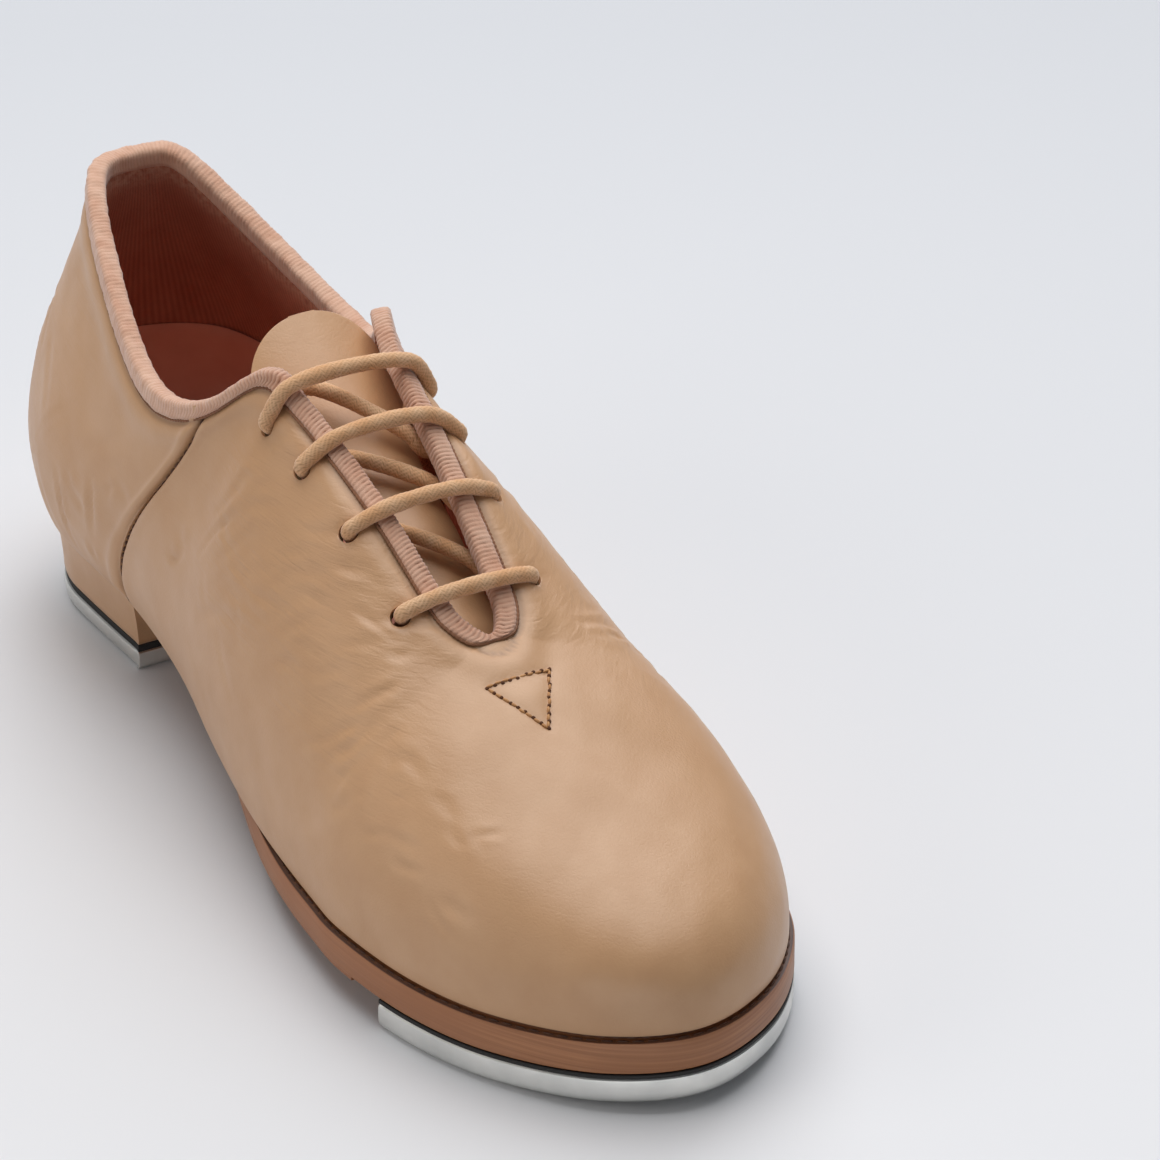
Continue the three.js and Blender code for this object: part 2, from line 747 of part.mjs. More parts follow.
const tongueClearance = 1.1;                       // from the lace to the tongue
const tongueDepth = laceUnder + laceRadius + tongueClearance;  // under the edges of the throat
const tongueRootDepth = wallDepth + gap;
const tongueRoot = 0.3;                            // place on the ridge, in front of the throat
const tongueStations = [7.7, 7.2, 6.6, 6];         // where the line is tied to the throat
const tongueSide = -0.8;                           // the throat lies a little to the outer side
const tongueTopReach = 13.5;                       // past the top corners of the facings
const tongueTopRise = 1.5;
const tongueReach = 22.26;                         // middle of the throat to beside the eyelets
const tongueHalfWidth = tongueReach - laceUnder;   // fits between the two ends of the lace
const tongueWaistHalfWidth = 9;
const tongueRootHalfWidth = 8;
const tongueArch = 24;                             // radius of its curve over the instep
const tongueRows = [0, 0.08, 0.18, 0.3, 0.42, 0.54, 0.66, 0.77, 0.86, 0.92, 0.965, 0.99];
const tongueColumns = [-1, -0.75, -0.5, -0.25, 0, 0.25, 0.5, 0.75, 1];
const tongueRoundFrom = 0.8;                       // share of its length where the top rounds off

function tongueLine() {
  const middle = (s) => topAt(s).add(topAt(LOOP_COUNT - s)).multiplyScalar(0.5);
  const points = [];
  const root = ridgeAt(tongueRoot);
  const rootNormal = new THREE.Vector3(-ridgeSlope(root.x), 0, 1).normalize();
  points.push(root.clone().addScaledVector(rootNormal, -tongueRootDepth));
  for (const s of tongueStations) {
    const along = middle(s - 0.1).sub(middle(s + 0.1)).setY(0).normalize();
    const normal = new THREE.Vector3(-along.z, 0, along.x).multiplyScalar(along.x < 0 ? -1 : 1);
    points.push(middle(s).addScaledVector(normal, -tongueDepth));
  }
  const corner = middle(FACING_TOP);
  points.push(new THREE.Vector3(corner.x - tongueTopReach, 0, corner.z + tongueTopRise));
  points.forEach((p) => p.setY(tongueSide));
  return new THREE.CatmullRomCurve3(points, false, 'centripetal');
}

function tongueSheet(depth, thickness) {
  const line = tongueLine();
  const outer = [];
  const inner = [];
  for (const u of tongueRows) {
    const centre = line.getPointAt(u);
    const along = line.getTangentAt(u).setY(0).normalize();
    const normal = new THREE.Vector3(-along.z, 0, along.x).multiplyScalar(along.x < 0 ? -1 : 1);
    const past = Math.max(0, (u - tongueRoundFrom) / (1 - tongueRoundFrom));
    const round = Math.sqrt(Math.max(0.02, 1 - past ** 2));
    const waist = THREE.MathUtils.lerp(tongueRootHalfWidth, tongueWaistHalfWidth, smooth(0, 0.4, u));
    const half = THREE.MathUtils.lerp(waist, tongueHalfWidth, smooth(0.55, 0.85, u)) * round;
    const row = (under) => tongueColumns.map((share) => {
      const angle = (share * half) / tongueArch;
      const radius = tongueArch - under;
      return centre.clone().addScaledVector(normal, -tongueArch + radius * Math.cos(angle))
        .add(new THREE.Vector3(0, radius * Math.sin(angle), 0));
    });
    outer.push(row(depth));
    inner.push(row(depth + thickness));
  }
  return sheet(outer, inner);
}

// ---- sole ---------------------------------------------------------------------------------
const seat = 0.05;                // clearance between flat layers of the stack

function stationAtX(x, isOuter) {
  let low = 0.5;
  let high = TOE;
  for (let k = 0; k < 40; k += 1) {
    const middle = (low + high) / 2;
    if (footAt(isOuter ? middle : LOOP_COUNT - middle).x < x) {
      low = middle;
    } else {
      high = middle;
    }
  }
  return isOuter ? low : LOOP_COUNT - low;
}

// Anticlockwise outline of a layer from one x forward, along the feather edge.
function soleOutline(fromX, outwards, count, toX = null) {
  const outerStart = stationAtX(fromX, true);
  const innerStart = stationAtX(fromX, false);
  const outerEnd = toX === null ? TOE : stationAtX(toX, true);
  const innerEnd = toX === null ? TOE : stationAtX(toX, false);
  const along = (from, to) => Array.from({ length: count + 1 }, (_, k) => from + ((to - from) * k) / count);
  const outer = along(outerStart, outerEnd);
  const inner = along(innerEnd, innerStart).slice(toX === null ? 1 : 0);
  return [...outer, ...inner].map((s) => {
    const foot = footAt(s);
    const distance = typeof outwards === 'function' ? outwards(foot.x) : outwards;
    return foot.addScaledVector(outwardAt(s), distance);
  });
}

// The sole stands out past the upper at the ball and draws in under it at the waist.
const waistInset = 4;
const marginStart = 96;
const marginEnd = 165;
const thickeningEnd = 140;
const soleGapToHeel = 3;
const soleEdgeRound = 0.5;
const soleEdgeRise = 0.6;
const padInset = 1;

function soleEdge(x) {
  return THREE.MathUtils.lerp(-waistInset, soleMargin, smooth(marginStart, marginEnd, x / lengthScale));
}

function soleDepth(x) {
  const share = smooth(waistStart, thickeningEnd, x / lengthScale);
  return THREE.MathUtils.lerp(waistThickness, soleThickness, share);
}

function outsole() {
  const outline = soleOutline(heelBreast + soleGapToHeel, soleEdge, 34);
  const top = (x) => featherHeight(x);
  const bottom = (x) => featherHeight(x) - soleDepth(x);
  return cut(loft([
    level(inset(outline, soleEdgeRound), bottom),
    level(outline, (x) => bottom(x) + soleEdgeRise),
    level(outline, (x) => top(x) - soleEdgeRise),
    level(inset(outline, soleEdgeRound), top),
  ]), toeScrewPlaces.map((place) => screwTool(place, groundLift(place.x))));
}

function ballPad() {
  const outline = inset(soleOutline(padStart, soleEdge, 12, padEnd), padInset);
  const top = (x) => featherHeight(x) - soleDepth(x) - seat;
  return loft([level(outline, (x) => top(x) - padThickness), level(outline, top)]);
}

const boardInset = 0.4;
// Rounded rims of the two taps from the floor up, as pairs of inset and height.
const toeTapRim = [[1.6, 0], [0.5, 0.45], [0, 1.6], [0, toeTapThickness - 0.6], [0.4, toeTapThickness]];
const heelTapRim = [[1.4, 0], [0.4, 0.45], [0, 1.5], [0, heelTapThickness - 0.4], [0.3, heelTapThickness]];

function toeTapBoard() {
  const outline = inset(soleOutline(toeTapStart, soleMargin, 26), boardInset);
  const bottom = (x) => toeTapThickness + groundLift(x) + seat;
  const top = (x) => toeTapThickness + groundLift(x) + tapBoardThickness - seat;
  return cut(loft([level(outline, bottom), level(outline, top)]),
    toeScrewPlaces.map((place) => screwTool(place, groundLift(place.x))));
}

function toeTap() {
  const outline = soleOutline(toeTapStart, soleMargin, 26);
  const levels = toeTapRim.map(([insetBy, z]) => level(inset(outline, insetBy), (x) => groundLift(x) + z));
  return cut(loft(levels), toeScrewPlaces.map((place) => screwTool(place, groundLift(place.x))));
}

// ---- screws -------------------------------------------------------------------------------
const screwRecess = 0.4;
const screwRim = 0.3;             // straight edge of a countersunk head
const screwNeck = 1.8;            // floor of the head to the shaft
const screwToolStart = -3;
const toeScrewPlaces = [
  new THREE.Vector2(toeTapStart + 41, 4),
  new THREE.Vector2(toeTapStart + 12, -26),
  new THREE.Vector2(toeTapStart + 12, 29),
];
const heelScrewPlaces = [
  new THREE.Vector2(heelRadius - 15, 0),
  new THREE.Vector2(heelBreast - 12, -15),
  new THREE.Vector2(heelBreast - 12, 15),
];

function turned(profile, place, z, sides = 12) {
  const geometry = new THREE.LatheGeometry(profile.map(([r, h]) => new THREE.Vector2(r, h)), sides);
  geometry.rotateX(Math.PI / 2);
  geometry.translate(place.x, place.y, z);
  return solidFrom(Array.from(geometry.attributes.position.array), Array.from(geometry.index.array));
}

function tapScrew(place, floor) {
  return turned([
    [0, 0], [screwHeadRadius, 0], [screwHeadRadius, screwRim], [screwRadius, screwNeck],
    [screwRadius, screwLength], [0, screwLength],
  ], place, floor + screwRecess);
}

function screwTool(place, floor) {
  const head = screwHeadRadius + gap;
  const shaft = screwRadius + gap;
  return turned([
    [0, screwToolStart], [head, screwToolStart], [head, screwRim + 0.1], [shaft, screwNeck + 0.2],
    [shaft, screwLength + gap], [0, screwLength + gap],
  ], place, floor + screwRecess);
}

// ---- heel ---------------------------------------------------------------------------------
const heelArcSteps = 12;
const heelFullness = 0.55;        // how wide the heel still is halfway to its breast
const liftInset = 0.3;
const heelSideShares = [0, 0.35, 0.7, 1];
const heelCurve = 1.6;            // how late the side flares out towards the top

function heelOutline(grow) {
  const points = [];
  const radius = heelRadius + grow;
  for (const share of steps(0, 1, heelArcSteps)) {
    const angle = Math.PI + (Math.PI / 2) * share;
    points.push(new THREE.Vector2(heelRadius + radius * Math.cos(angle), radius * Math.sin(angle)));
  }
  const breast = heelBreastHalfWidth + grow;
  points.push(new THREE.Vector2((heelRadius + heelBreast) / 2,
    -THREE.MathUtils.lerp(breast, radius, heelFullness)));
  points.push(new THREE.Vector2(heelBreast, -breast));
  const mirrored = points.slice(1).reverse().map((p) => new THREE.Vector2(p.x, -p.y));
  return [...points, ...mirrored];
}

const heelLayerTop = heelTapThickness + heelLiftThickness;

function heelTap() {
  const outline = heelOutline(0);
  const levels = heelTapRim.map(([insetBy, z]) => level(inset(outline, insetBy), z));
  return cut(loft(levels, true), heelScrewPlaces.map((place) => screwTool(place, 0)));
}

function heelLift() {
  const outline = inset(heelOutline(0), liftInset);
  return cut(loft([
    level(outline, heelTapThickness + seat),
    level(outline, heelLayerTop - seat),
  ], true), heelScrewPlaces.map((place) => screwTool(place, 0)));
}

function heelSideLevels(insetBy) {
  return heelSideShares.map((share) => {
    const outline = heelOutline(heelFlare * share ** heelCurve);
    const height = THREE.MathUtils.lerp(heelLayerTop + seat, heelHeight, share);
    return level(insetBy > 0 ? inset(outline, insetBy) : outline, height);
  });
}

function heelBlock() {
  const tools = heelScrewPlaces.map((place) => screwTool(place, 0));
  tools.push(heelScrewTool());
  return cut(loft(heelSideLevels(heelCoverThickness + gap), true), tools);
}

// Leather wrapped round the heel block, a closed band.
function heelCover() {
  const outer = heelSideLevels(0);
  const inner = heelSideLevels(heelCoverThickness);
  const rings = outer[0].map((_, i) => [
    ...outer.map((loop) => loop[i]),
    ...inner.map((loop) => loop[i]).reverse(),
  ]);
  return ringOf(rings);
}

const heelScrewPlace = new THREE.Vector2(heelRadius, 0);
const insoleBottom = 2 * gap + leather;
const insoleTop = insoleBottom + insoleThickness;
const heelScrewDepth = 11;
const heelScrewHead = 1.6;
const heelScrewSink = 0.2;        // its head lies this far below the insole
const heelScrewToolTop = 6;

function heelScrewProfile(clearance, top) {
  const shaft = heelScrewRadius + clearance;
  const head = 2 * heelScrewRadius + clearance;
  const neck = insoleTop - heelScrewHead - clearance;
  return [
    [0, -heelScrewDepth - clearance], [shaft, -heelScrewDepth - clearance],
    [shaft, neck], [head, neck], [head, insoleTop + top], [0, insoleTop + top],
  ];
}

function heelScrew() {
  return turned(heelScrewProfile(0, -heelScrewSink), heelScrewPlace, heelHeight);
}

function heelScrewTool() {
  return turned(heelScrewProfile(gap, heelScrewToolTop), heelScrewPlace, heelHeight);
}

// ---- layers inside the shoe ---------------------------------------------------------------
const insoleInset = wallDepth + 0.8;
const sockInset = wallDepth + 1;
const fillerStart = padStart + 18;
const fillerInset = lastingMargin + 1;
const shankStart = heelRadius + 10;
const shankEnd = padStart + 14;

function footbedOutline(insetBy) {
  const stations = steps(0, LOOP_COUNT, 3).slice(0, -1);
  return stations.map((s) => footAt(s).addScaledVector(outwardAt(s), -insetBy));
}

function footbed(insetBy, bottom, top, tools) {
  const outline = footbedOutline(insetBy);
  return cut(loft([aboveFeather(outline, bottom), aboveFeather(outline, top)], true), tools);
}

function aboveFeather(outline, height) {
  return level(outline, (x) => featherHeight(x) + height);
}

function insoleBoard() {
  return footbed(insoleInset, insoleBottom, insoleTop, [heelScrewTool()]);
}

function sockLiner() {
  return footbed(sockInset, insoleTop + gap, insoleTop + gap + sockThickness, []);
}

function bottomFiller() {
  const outline = soleOutline(fillerStart, -fillerInset, 14);
  return loft([aboveFeather(outline, gap), aboveFeather(outline, gap + leather)]);
}

function shank() {
  const sections = steps(0, 1, 14).map((share) => {
    const x = THREE.MathUtils.lerp(shankStart, shankEnd, share);
    const y = (footAt(stationAtX(x, true)).y + footAt(stationAtX(x, false)).y) / 2;
    return { x, y };
  });
  const outline = [
    ...sections.map(({ x, y }) => new THREE.Vector2(x, y - shankWidth / 2)),
    ...sections.reverse().map(({ x, y }) => new THREE.Vector2(x, y + shankWidth / 2)),
  ];
  return loft([aboveFeather(outline, gap), aboveFeather(outline, gap + shankThickness)]);
}

// ---- assembly -----------------------------------------------------------------------------
const colours = {
  tanLeather: [0xc6a07a, 0.6, 0],
  binding: [0xd9b199, 0.85, 0],
  liningCloth: [0x5a2e22, 0.9, 0],
  sock: [0x7e4636, 0.8, 0],
  board: [0x9b7b58, 0.8, 0],
  soleLeather: [0x9a6a4e, 0.55, 0],
  blackRubber: [0x1e1c1b, 0.7, 0],
  aluminium: [0xd8dad6, 0.35, 1],
  steel: [0x8d9094, 0.4, 1],
  laceCotton: [0xb5834f, 0.8, 0],
  wood: [0xb08a60, 0.7, 0],
};

const group = new THREE.Group();

function add(name, colour, geometry) {
  const [color, roughness, metalness] = colours[colour];
  const mesh = new THREE.Mesh(geometry, new THREE.MeshStandardMaterial({ color, roughness, metalness }));
  mesh.name = name;
  group.add(mesh);
}

add('vamp', 'tanLeather', vamp());
add('heel_quarter', 'tanLeather', heelQuarter());
add('vamp_lining', 'liningCloth', vampLining());
add('quarter_lining', 'liningCloth', quarterLining());
add('heel_counter', 'board', heelCounter());
add('toe_puff', 'board', toePuff());
add('facing_stay_outer', 'board', facingStay(stayStart, stayEnd));
add('facing_stay_inner', 'board', facingStay(LOOP_COUNT - stayEnd, LOOP_COUNT - stayStart));
add('topline_binding', 'binding', toplineBinding());
add('tongue', 'tanLeather', tongueSheet(0, tongueLeather));
add('tongue_lining', 'liningCloth', tongueSheet(tongueLeather + gap, tongueLining));
const lacePath = lacePoints();
add('lace', 'laceCotton', lace());
add('lace_tip_1', 'laceCotton', laceTip(lacePath[0], lacePath[1]));
add('lace_tip_2', 'laceCotton', laceTip(lacePath.at(-1), lacePath.at(-2)));
add('sock_liner', 'sock', sockLiner());
add('insole_board', 'board', insoleBoard());
add('bottom_filler', 'board', bottomFiller());
add('shank', 'steel', shank());
add('outsole', 'soleLeather', outsole());
add('ball_pad', 'soleLeather', ballPad());
add('toe_tap_board', 'blackRubber', toeTapBoard());
add('toe_tap', 'aluminium', toeTap());
toeScrewPlaces.forEach((place, k) => {
  add(`toe_tap_screw_${k + 1}`, 'steel', tapScrew(place, groundLift(place.x)));
});
add('heel_block', 'wood', heelBlock());
add('heel_cover', 'tanLeather', heelCover());
add('heel_lift', 'blackRubber', heelLift());
add('heel_tap', 'aluminium', heelTap());
heelScrewPlaces.forEach((place, k) => {
  add(`heel_tap_screw_${k + 1}`, 'steel', tapScrew(place, 0));
});
add('heel_screw', 'steel', heelScrew());

// The origin lies on the floor, under the middle of the whole shoe.
const middle = new THREE.Box3().setFromObject(group).getCenter(new THREE.Vector3());
group.position.set(-middle.x, -middle.y, 0);

export default group;
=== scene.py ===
import json
import math

import bmesh
import bpy
import numpy as np
from mathutils import Euler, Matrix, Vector


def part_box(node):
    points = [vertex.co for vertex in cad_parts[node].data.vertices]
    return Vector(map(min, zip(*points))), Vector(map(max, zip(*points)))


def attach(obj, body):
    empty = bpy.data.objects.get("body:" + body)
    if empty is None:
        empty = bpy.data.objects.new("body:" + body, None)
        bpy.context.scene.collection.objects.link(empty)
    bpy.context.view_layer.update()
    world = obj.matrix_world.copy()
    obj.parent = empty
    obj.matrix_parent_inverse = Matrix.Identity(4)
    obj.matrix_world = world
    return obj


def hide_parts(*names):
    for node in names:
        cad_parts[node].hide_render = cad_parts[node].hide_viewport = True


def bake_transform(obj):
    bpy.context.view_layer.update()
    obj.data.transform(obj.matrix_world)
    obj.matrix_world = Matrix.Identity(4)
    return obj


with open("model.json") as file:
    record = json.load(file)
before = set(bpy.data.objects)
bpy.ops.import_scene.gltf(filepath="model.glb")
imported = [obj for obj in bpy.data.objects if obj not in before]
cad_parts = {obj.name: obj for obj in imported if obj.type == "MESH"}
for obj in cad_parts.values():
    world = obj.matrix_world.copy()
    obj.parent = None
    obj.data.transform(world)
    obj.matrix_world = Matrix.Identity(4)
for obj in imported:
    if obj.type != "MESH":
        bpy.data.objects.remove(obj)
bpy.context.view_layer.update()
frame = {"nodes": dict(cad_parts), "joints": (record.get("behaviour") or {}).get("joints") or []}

bl_info = {
    "name": "Tap Shoe",
    "version": (1, 0, 0),
    "blender": (4, 5, 0),
    "location": "View3D > Sidebar > Tap Shoe",
    "description": "Leather tap shoe: lasted upper, bound topline, lace, stacked sole and metal taps",
    "category": "Add Mesh",
}

# ---- the shared frame ---------------------------------------------------------------------
# Shapes are worked out in millimetres on the last, whose origin is at the back of the heel on
# the floor: x runs to the toe, y to the inner side of the foot, z up.
MM = 0.001
HEEL_TAP_LOW, HEEL_TAP_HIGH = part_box("heel_tap")
ORIGIN = np.array([HEEL_TAP_LOW.x, (HEEL_TAP_LOW.y + HEEL_TAP_HIGH.y) / 2, 0.0])
FLEX = next(joint for joint in frame["joints"] if joint["name"] == "toe_flex")


def height_of(node):
    low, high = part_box(node)
    return (high.z - low.z) / MM


def to_frame(points):
    return np.asarray(points, float) * MM + ORIGIN


def on_last(point):
    return (np.asarray(point, float) - ORIGIN) / MM


# ---- sizes of the last and the stack under it, in millimetres -----------------------------
LEATHER = 1.2
LINING = 0.8
WALL = 3.2 + 0.2                  # leather, stiffener, lining and the gaps between them
EDGE_SKIVE = 0.9
GAP = 0.3
HEEL_HEIGHT = on_last(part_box("heel_block")[1])[2]
SOLE_TOP = 15.2                   # feather edge over the floor at the ball
TOE_SPRING = 2.8
SOLE_THICKNESS = 8.1
WAIST_THICKNESS = 3.4
SOLE_MARGIN = 1.2
LASTING_MARGIN = 9.0
HEEL_RADIUS = 27.2
HEEL_BREAST = on_last(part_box("heel_tap")[1])[0]
HEEL_HALF_WIDTH = 25.6
HEEL_FLARE = 1.6
HEEL_COVER = 1.0
HEEL_TAP_TOP = height_of("heel_tap")
HEEL_LIFT_TOP = on_last(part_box("heel_lift")[1])[2]
TOE_TAP_BACK = on_last(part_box("toe_tap")[0])[0]
TOE_TAP_THICKNESS = 6.0
TAP_BOARD = 1.1
PAD_BACK, PAD_FRONT = 124.0, 187.0
EYELET_INSET = 9.0
INSOLE_TOP = 2 * GAP + LEATHER + 2.0

# One station is a line up the upper: foot x, y, top x, y and rise over the heel seat, then how
# it bows out low down (share of height, mm) and how it comes in at the top (share of the way
# out, mm, share of height).
BACK = (-1, 0, 3.5, 0, 74, 0.33, 15, 0, 2.5, 0.33)
OUTER_SIDE = [
    BACK,
    (7, -20, 7, -10, 75, 0.33, 16, 0, 3, 0.33),
    (28, -29.5, 32, -20, 67.5, 0.33, 15, 0, 4, 0.33),
    (46, -30, 70, -27.5, 56, 0.33, 11, 0, 4, 0.33),
    (60, -29.5, 90, -24.5, 62, 0.33, 9, 0.05, 4, 0.3),
    (88, -31.5, 104, -16.5, 75, 0.33, 10, 0.15, 3, 0.2),
    (114, -36, 112, -13, 71.5, 0.36, 9, 0.4, 1, 0.06),
    (144, -40.5, 138, -9, 60, 0.42, 4.5, 0.5, 0, 0),
    (170, -42.5, 163.5, -5.5, 45.3, 0.5, 3, 0.55, 0, 0),
]
INNER_SIDE = [
    BACK,
    (7, 20, 6, 9, 74.3, 0.33, 13, 0, 2.5, 0.33),
    (28, 28, 28, 19.5, 62.5, 0.33, 11, 0, 3, 0.33),
    (46, 28, 66, 24.5, 55, 0.33, 9, 0, 4, 0.33),
    (60, 26, 82, 21.5, 63, 0.33, 9, 0.05, 4, 0.3),
    (86, 22.5, 94, 15, 75.5, 0.33, 11, 0.15, 3, 0.2),
    (114, 23.5, 112, 9.5, 71.5, 0.36, 14, 0.4, 3, 0.06),
    (144, 33, 138, 6.5, 60, 0.42, 10, 0.5, 3, 0),
    (170, 40.5, 163.5, 4, 45.3, 0.5, 6, 0.55, 2, 0),
]
RIDGE = np.array([(169, -0.5, 42.4), (191, 0, 33.9), (206, 0.5, 28.4), (214, 1, 25.4), (217, 1.5, 24.4)])
OUTER_TOE = [
    (184, -42.5, *RIDGE[0], 0.55, 3, 0.58, 0, 0),
    (205, -38.5, *RIDGE[1], 0.6, 2.5, 0.62, 0, 0),
    (225, -30, *RIDGE[2], 0.62, 2.5, 0.62, 0, 0),
    (243, -15.5, *RIDGE[3], 0.62, 2.5, 0.62, 0, 0),
    (250.5, 2, *RIDGE[4], 0.62, 2.5, 0.62, 0, 0),
]
INNER_TOE = [
    (186, 42.5, *RIDGE[0], 0.55, 4, 0.6, 2, 0),
    (208, 41, *RIDGE[1], 0.6, 3, 0.62, 1, 0),
    (227, 34.5, *RIDGE[2], 0.62, 2.5, 0.62, 0, 0),
    (243, 20.5, *RIDGE[3], 0.62, 2.5, 0.62, 0, 0),
    OUTER_TOE[4],
]
OUTER = OUTER_SIDE + OUTER_TOE
INNER = INNER_SIDE + INNER_TOE
THROAT_END = len(OUTER_SIDE)      # first station on the ridge of the toe
TOE = len(OUTER) - 1
LOOP = np.array(OUTER[:TOE] + INNER[:0:-1], float)
COUNT = len(LOOP)
FOOT, TOP, SHAPE = LOOP[:, :2], LOOP[:, 2:5], LOOP[:, 5:]
SEAM = 4                          # station of the side seams
FACING_TOP = 5
OUTER_EYELETS = [5.75, 6.42, 7.02, 7.68]
INNER_EYELETS = [COUNT - s for s in (5.95, 6.5, 7.05, 7.68)]


# ---- small curves -------------------------------------------------------------------------
def smooth(low, high, value):
    f = np.clip((np.asarray(value, float) - low) / (high - low), 0, 1)
    return f * f * (3 - 2 * f)


def bump(value, width):
    return np.exp(-((np.asarray(value, float) / width) ** 2))


def unit(vectors):
    return vectors / np.maximum(np.linalg.norm(vectors, axis=-1, keepdims=True), 1e-9)


def harmonic(a, b):
    """Slope that keeps a curve between its two neighbours."""
    return np.where(a * b > 0, 2 * a * b / np.where(a * b > 0, a + b, 1), 0)


def hermite(first, last, slope_in, slope_out, f):
    return ((2 * f**3 - 3 * f**2 + 1) * first + (f**3 - 2 * f**2 + f) * slope_in
            + (3 * f**2 - 2 * f**3) * last + (f**3 - f**2) * slope_out)


def catmull_rom(points, per_segment):
    """Dense points on a centripetal curve through the given points."""
    points = np.asarray(points, float)
    ends = [2 * points[0] - points[1], *points, 2 * points[-1] - points[-2]]
    out = []
    for before, first, last, after in zip(ends, ends[1:], ends[2:], ends[3:]):
        d0, d1, d2 = (max(np.linalg.norm(b - a) ** 0.5, 1e-4)
                      for a, b in ((before, first), (first, last), (last, after)))
        slope_in = ((first - before) / d0 - (last - before) / (d0 + d1) + (last - first) / d1) * d1
        slope_out = ((last - first) / d1 - (after - first) / (d1 + d2) + (after - last) / d2) * d1
        for f in np.arange(per_segment) / per_segment:
            out.append(hermite(first, last, slope_in, slope_out, f))
    return np.array(out + [points[-1]])


def run_along(points):
    """Distance travelled along a polyline at each of its points."""
    return np.concatenate([[0], np.cumsum(np.linalg.norm(np.diff(points, axis=0), axis=1))])


def points_at(points, along, marks):
    """Points of a polyline at the given marks along it."""
    return np.stack([np.interp(marks, along, column) for column in points.T], axis=1)


def resample(points, spacing):
    """Points at an even spacing along a polyline."""
    length = run_along(points)
    marks = np.linspace(0, length[-1], max(2, int(round(length[-1] / spacing)) + 1))
    return points_at(points, length, marks), marks


def resample_count(points, count):
    length = run_along(points)
    return points_at(points, length, np.linspace(0, length[-1], count))


def ripple(points, pitch, seed):
    """Soft irregular waves between -1 and 1, the same on every run."""
    rng = np.random.default_rng(seed)
    total = np.zeros(points.shape[:-1])
    for _ in range(7):
        wave = unit(rng.normal(size=3)) * 2 * math.pi / (pitch * rng.uniform(0.7, 1.5))
        total += np.sin(points @ wave + rng.uniform(0, 2 * math.pi))
    return total / 7 ** 0.5


# ---- the surface of the upper -------------------------------------------------------------
def spring(x):
    return TOE_SPRING * np.maximum(0, (np.asarray(x, float) - 205) / 47) ** 2


def feather_height(x):
    """Height of the seam between sole and upper."""
    return SOLE_TOP + spring(x) + (HEEL_HEIGHT - SOLE_TOP) * (1 - smooth(60, 138, x))


def split(s):
    i = np.floor(s).astype(int)
    return i, (s - i)[..., None]


def foot_at(s):
    i, f = split(np.asarray(s, float))
    a, b, c, d = (FOOT[(i + k) % COUNT] for k in (-1, 0, 1, 2))
    return 0.5 * (2 * b + (c - a) * f + (2 * a - 5 * b + 4 * c - d) * f**2
                  + (3 * b - a - 3 * c + d) * f**3)


def outward_at(s):
    along = unit(foot_at(np.asarray(s, float) + 0.01) - foot_at(np.asarray(s, float) - 0.01))
    return np.stack([along[..., 1], -along[..., 0]], axis=-1)


def feather(s, outwards=0.0, z=0.0):
    foot = foot_at(s) + outward_at(s) * np.asarray(outwards, float)[..., None]
    return np.concatenate([foot, (feather_height(foot[..., 0]) + z)[..., None]], axis=-1)


def wall_at(distance):
    """Thickness of the upper with its lining, pressed thinner under the binding."""
    return WALL - EDGE_SKIVE * (1 - smooth(0, 9, distance))


def on_ridge(s):
    q = np.mod(s, COUNT)
    return (q >= THROAT_END - 1e-9) & (q <= COUNT - THROAT_END + 1e-9)


def ridge_at(q):
    q = np.asarray(q, float)
    last = len(RIDGE) - 1
    i = np.clip(np.floor(q), 0, last - 1).astype(int)
    f = np.clip(q - i, 0, 1)[..., None]
    rise = RIDGE[i + 1] - RIDGE[i]
    before = np.where((i > 0)[..., None], RIDGE[i] - RIDGE[np.maximum(i - 1, 0)], rise)
    after = np.where((i + 2 <= last)[..., None], RIDGE[np.minimum(i + 2, last)] - RIDGE[i + 1], rise)
    point = hermite(RIDGE[i], RIDGE[i + 1], harmonic(before, rise), harmonic(rise, after), f)
    return point + [0, 0, HEEL_HEIGHT]


def ridge_slope(x):
    slopes = np.diff(RIDGE[:, 2]) / np.diff(RIDGE[:, 0])
    middles = (RIDGE[1:, 0] + RIDGE[:-1, 0]) / 2
    return np.interp(x, middles, slopes)


def top_at(s):
    """Top end of a station line, with the corners of the collar rounded off."""
    s = np.asarray(s, float)
    q = np.mod(s + COUNT / 2, COUNT) - COUNT / 2
    round_off = 1 - smooth(6.3, 7.3, np.abs(q))
    steps = np.linspace(-1, 1, 5)
    weights = bump(steps, 0.6)
    weights = weights / weights.sum()
    return sum(weight * drawn_top(s + 0.5 * step * round_off) for weight, step in zip(weights, steps))


def drawn_top(s):
    """Top end of a station line: the collar, the throat's edge or the ridge of the toe."""
    q = np.mod(np.asarray(s, float), COUNT)
    i, f = split(q)
    before, first, last, after = (TOP[(i + k) % COUNT] for k in (-1, 0, 1, 2))
    rise = last - first
    level_ends = rise * [0, 1, 0]
    slope_in = np.where((i == COUNT - THROAT_END)[..., None], level_ends, harmonic(first - before, rise))
    slope_out = np.where((i + 1 == THROAT_END)[..., None], level_ends, harmonic(rise, after - last))
    side = hermite(first, last, slope_in, slope_out, f) + [0, 0, HEEL_HEIGHT]
    return np.where(on_ridge(q)[..., None], ridge_at(TOE - np.abs(TOE - q) - THROAT_END), side)


def shape_at(s):
    i, f = split(np.asarray(s, float))
    before, first, last, after = (SHAPE[(i + k) % COUNT] for k in (-1, 0, 1, 2))
    rise = last - first
    return hermite(first, last, harmonic(first - before, rise), harmonic(rise, after - last), f)


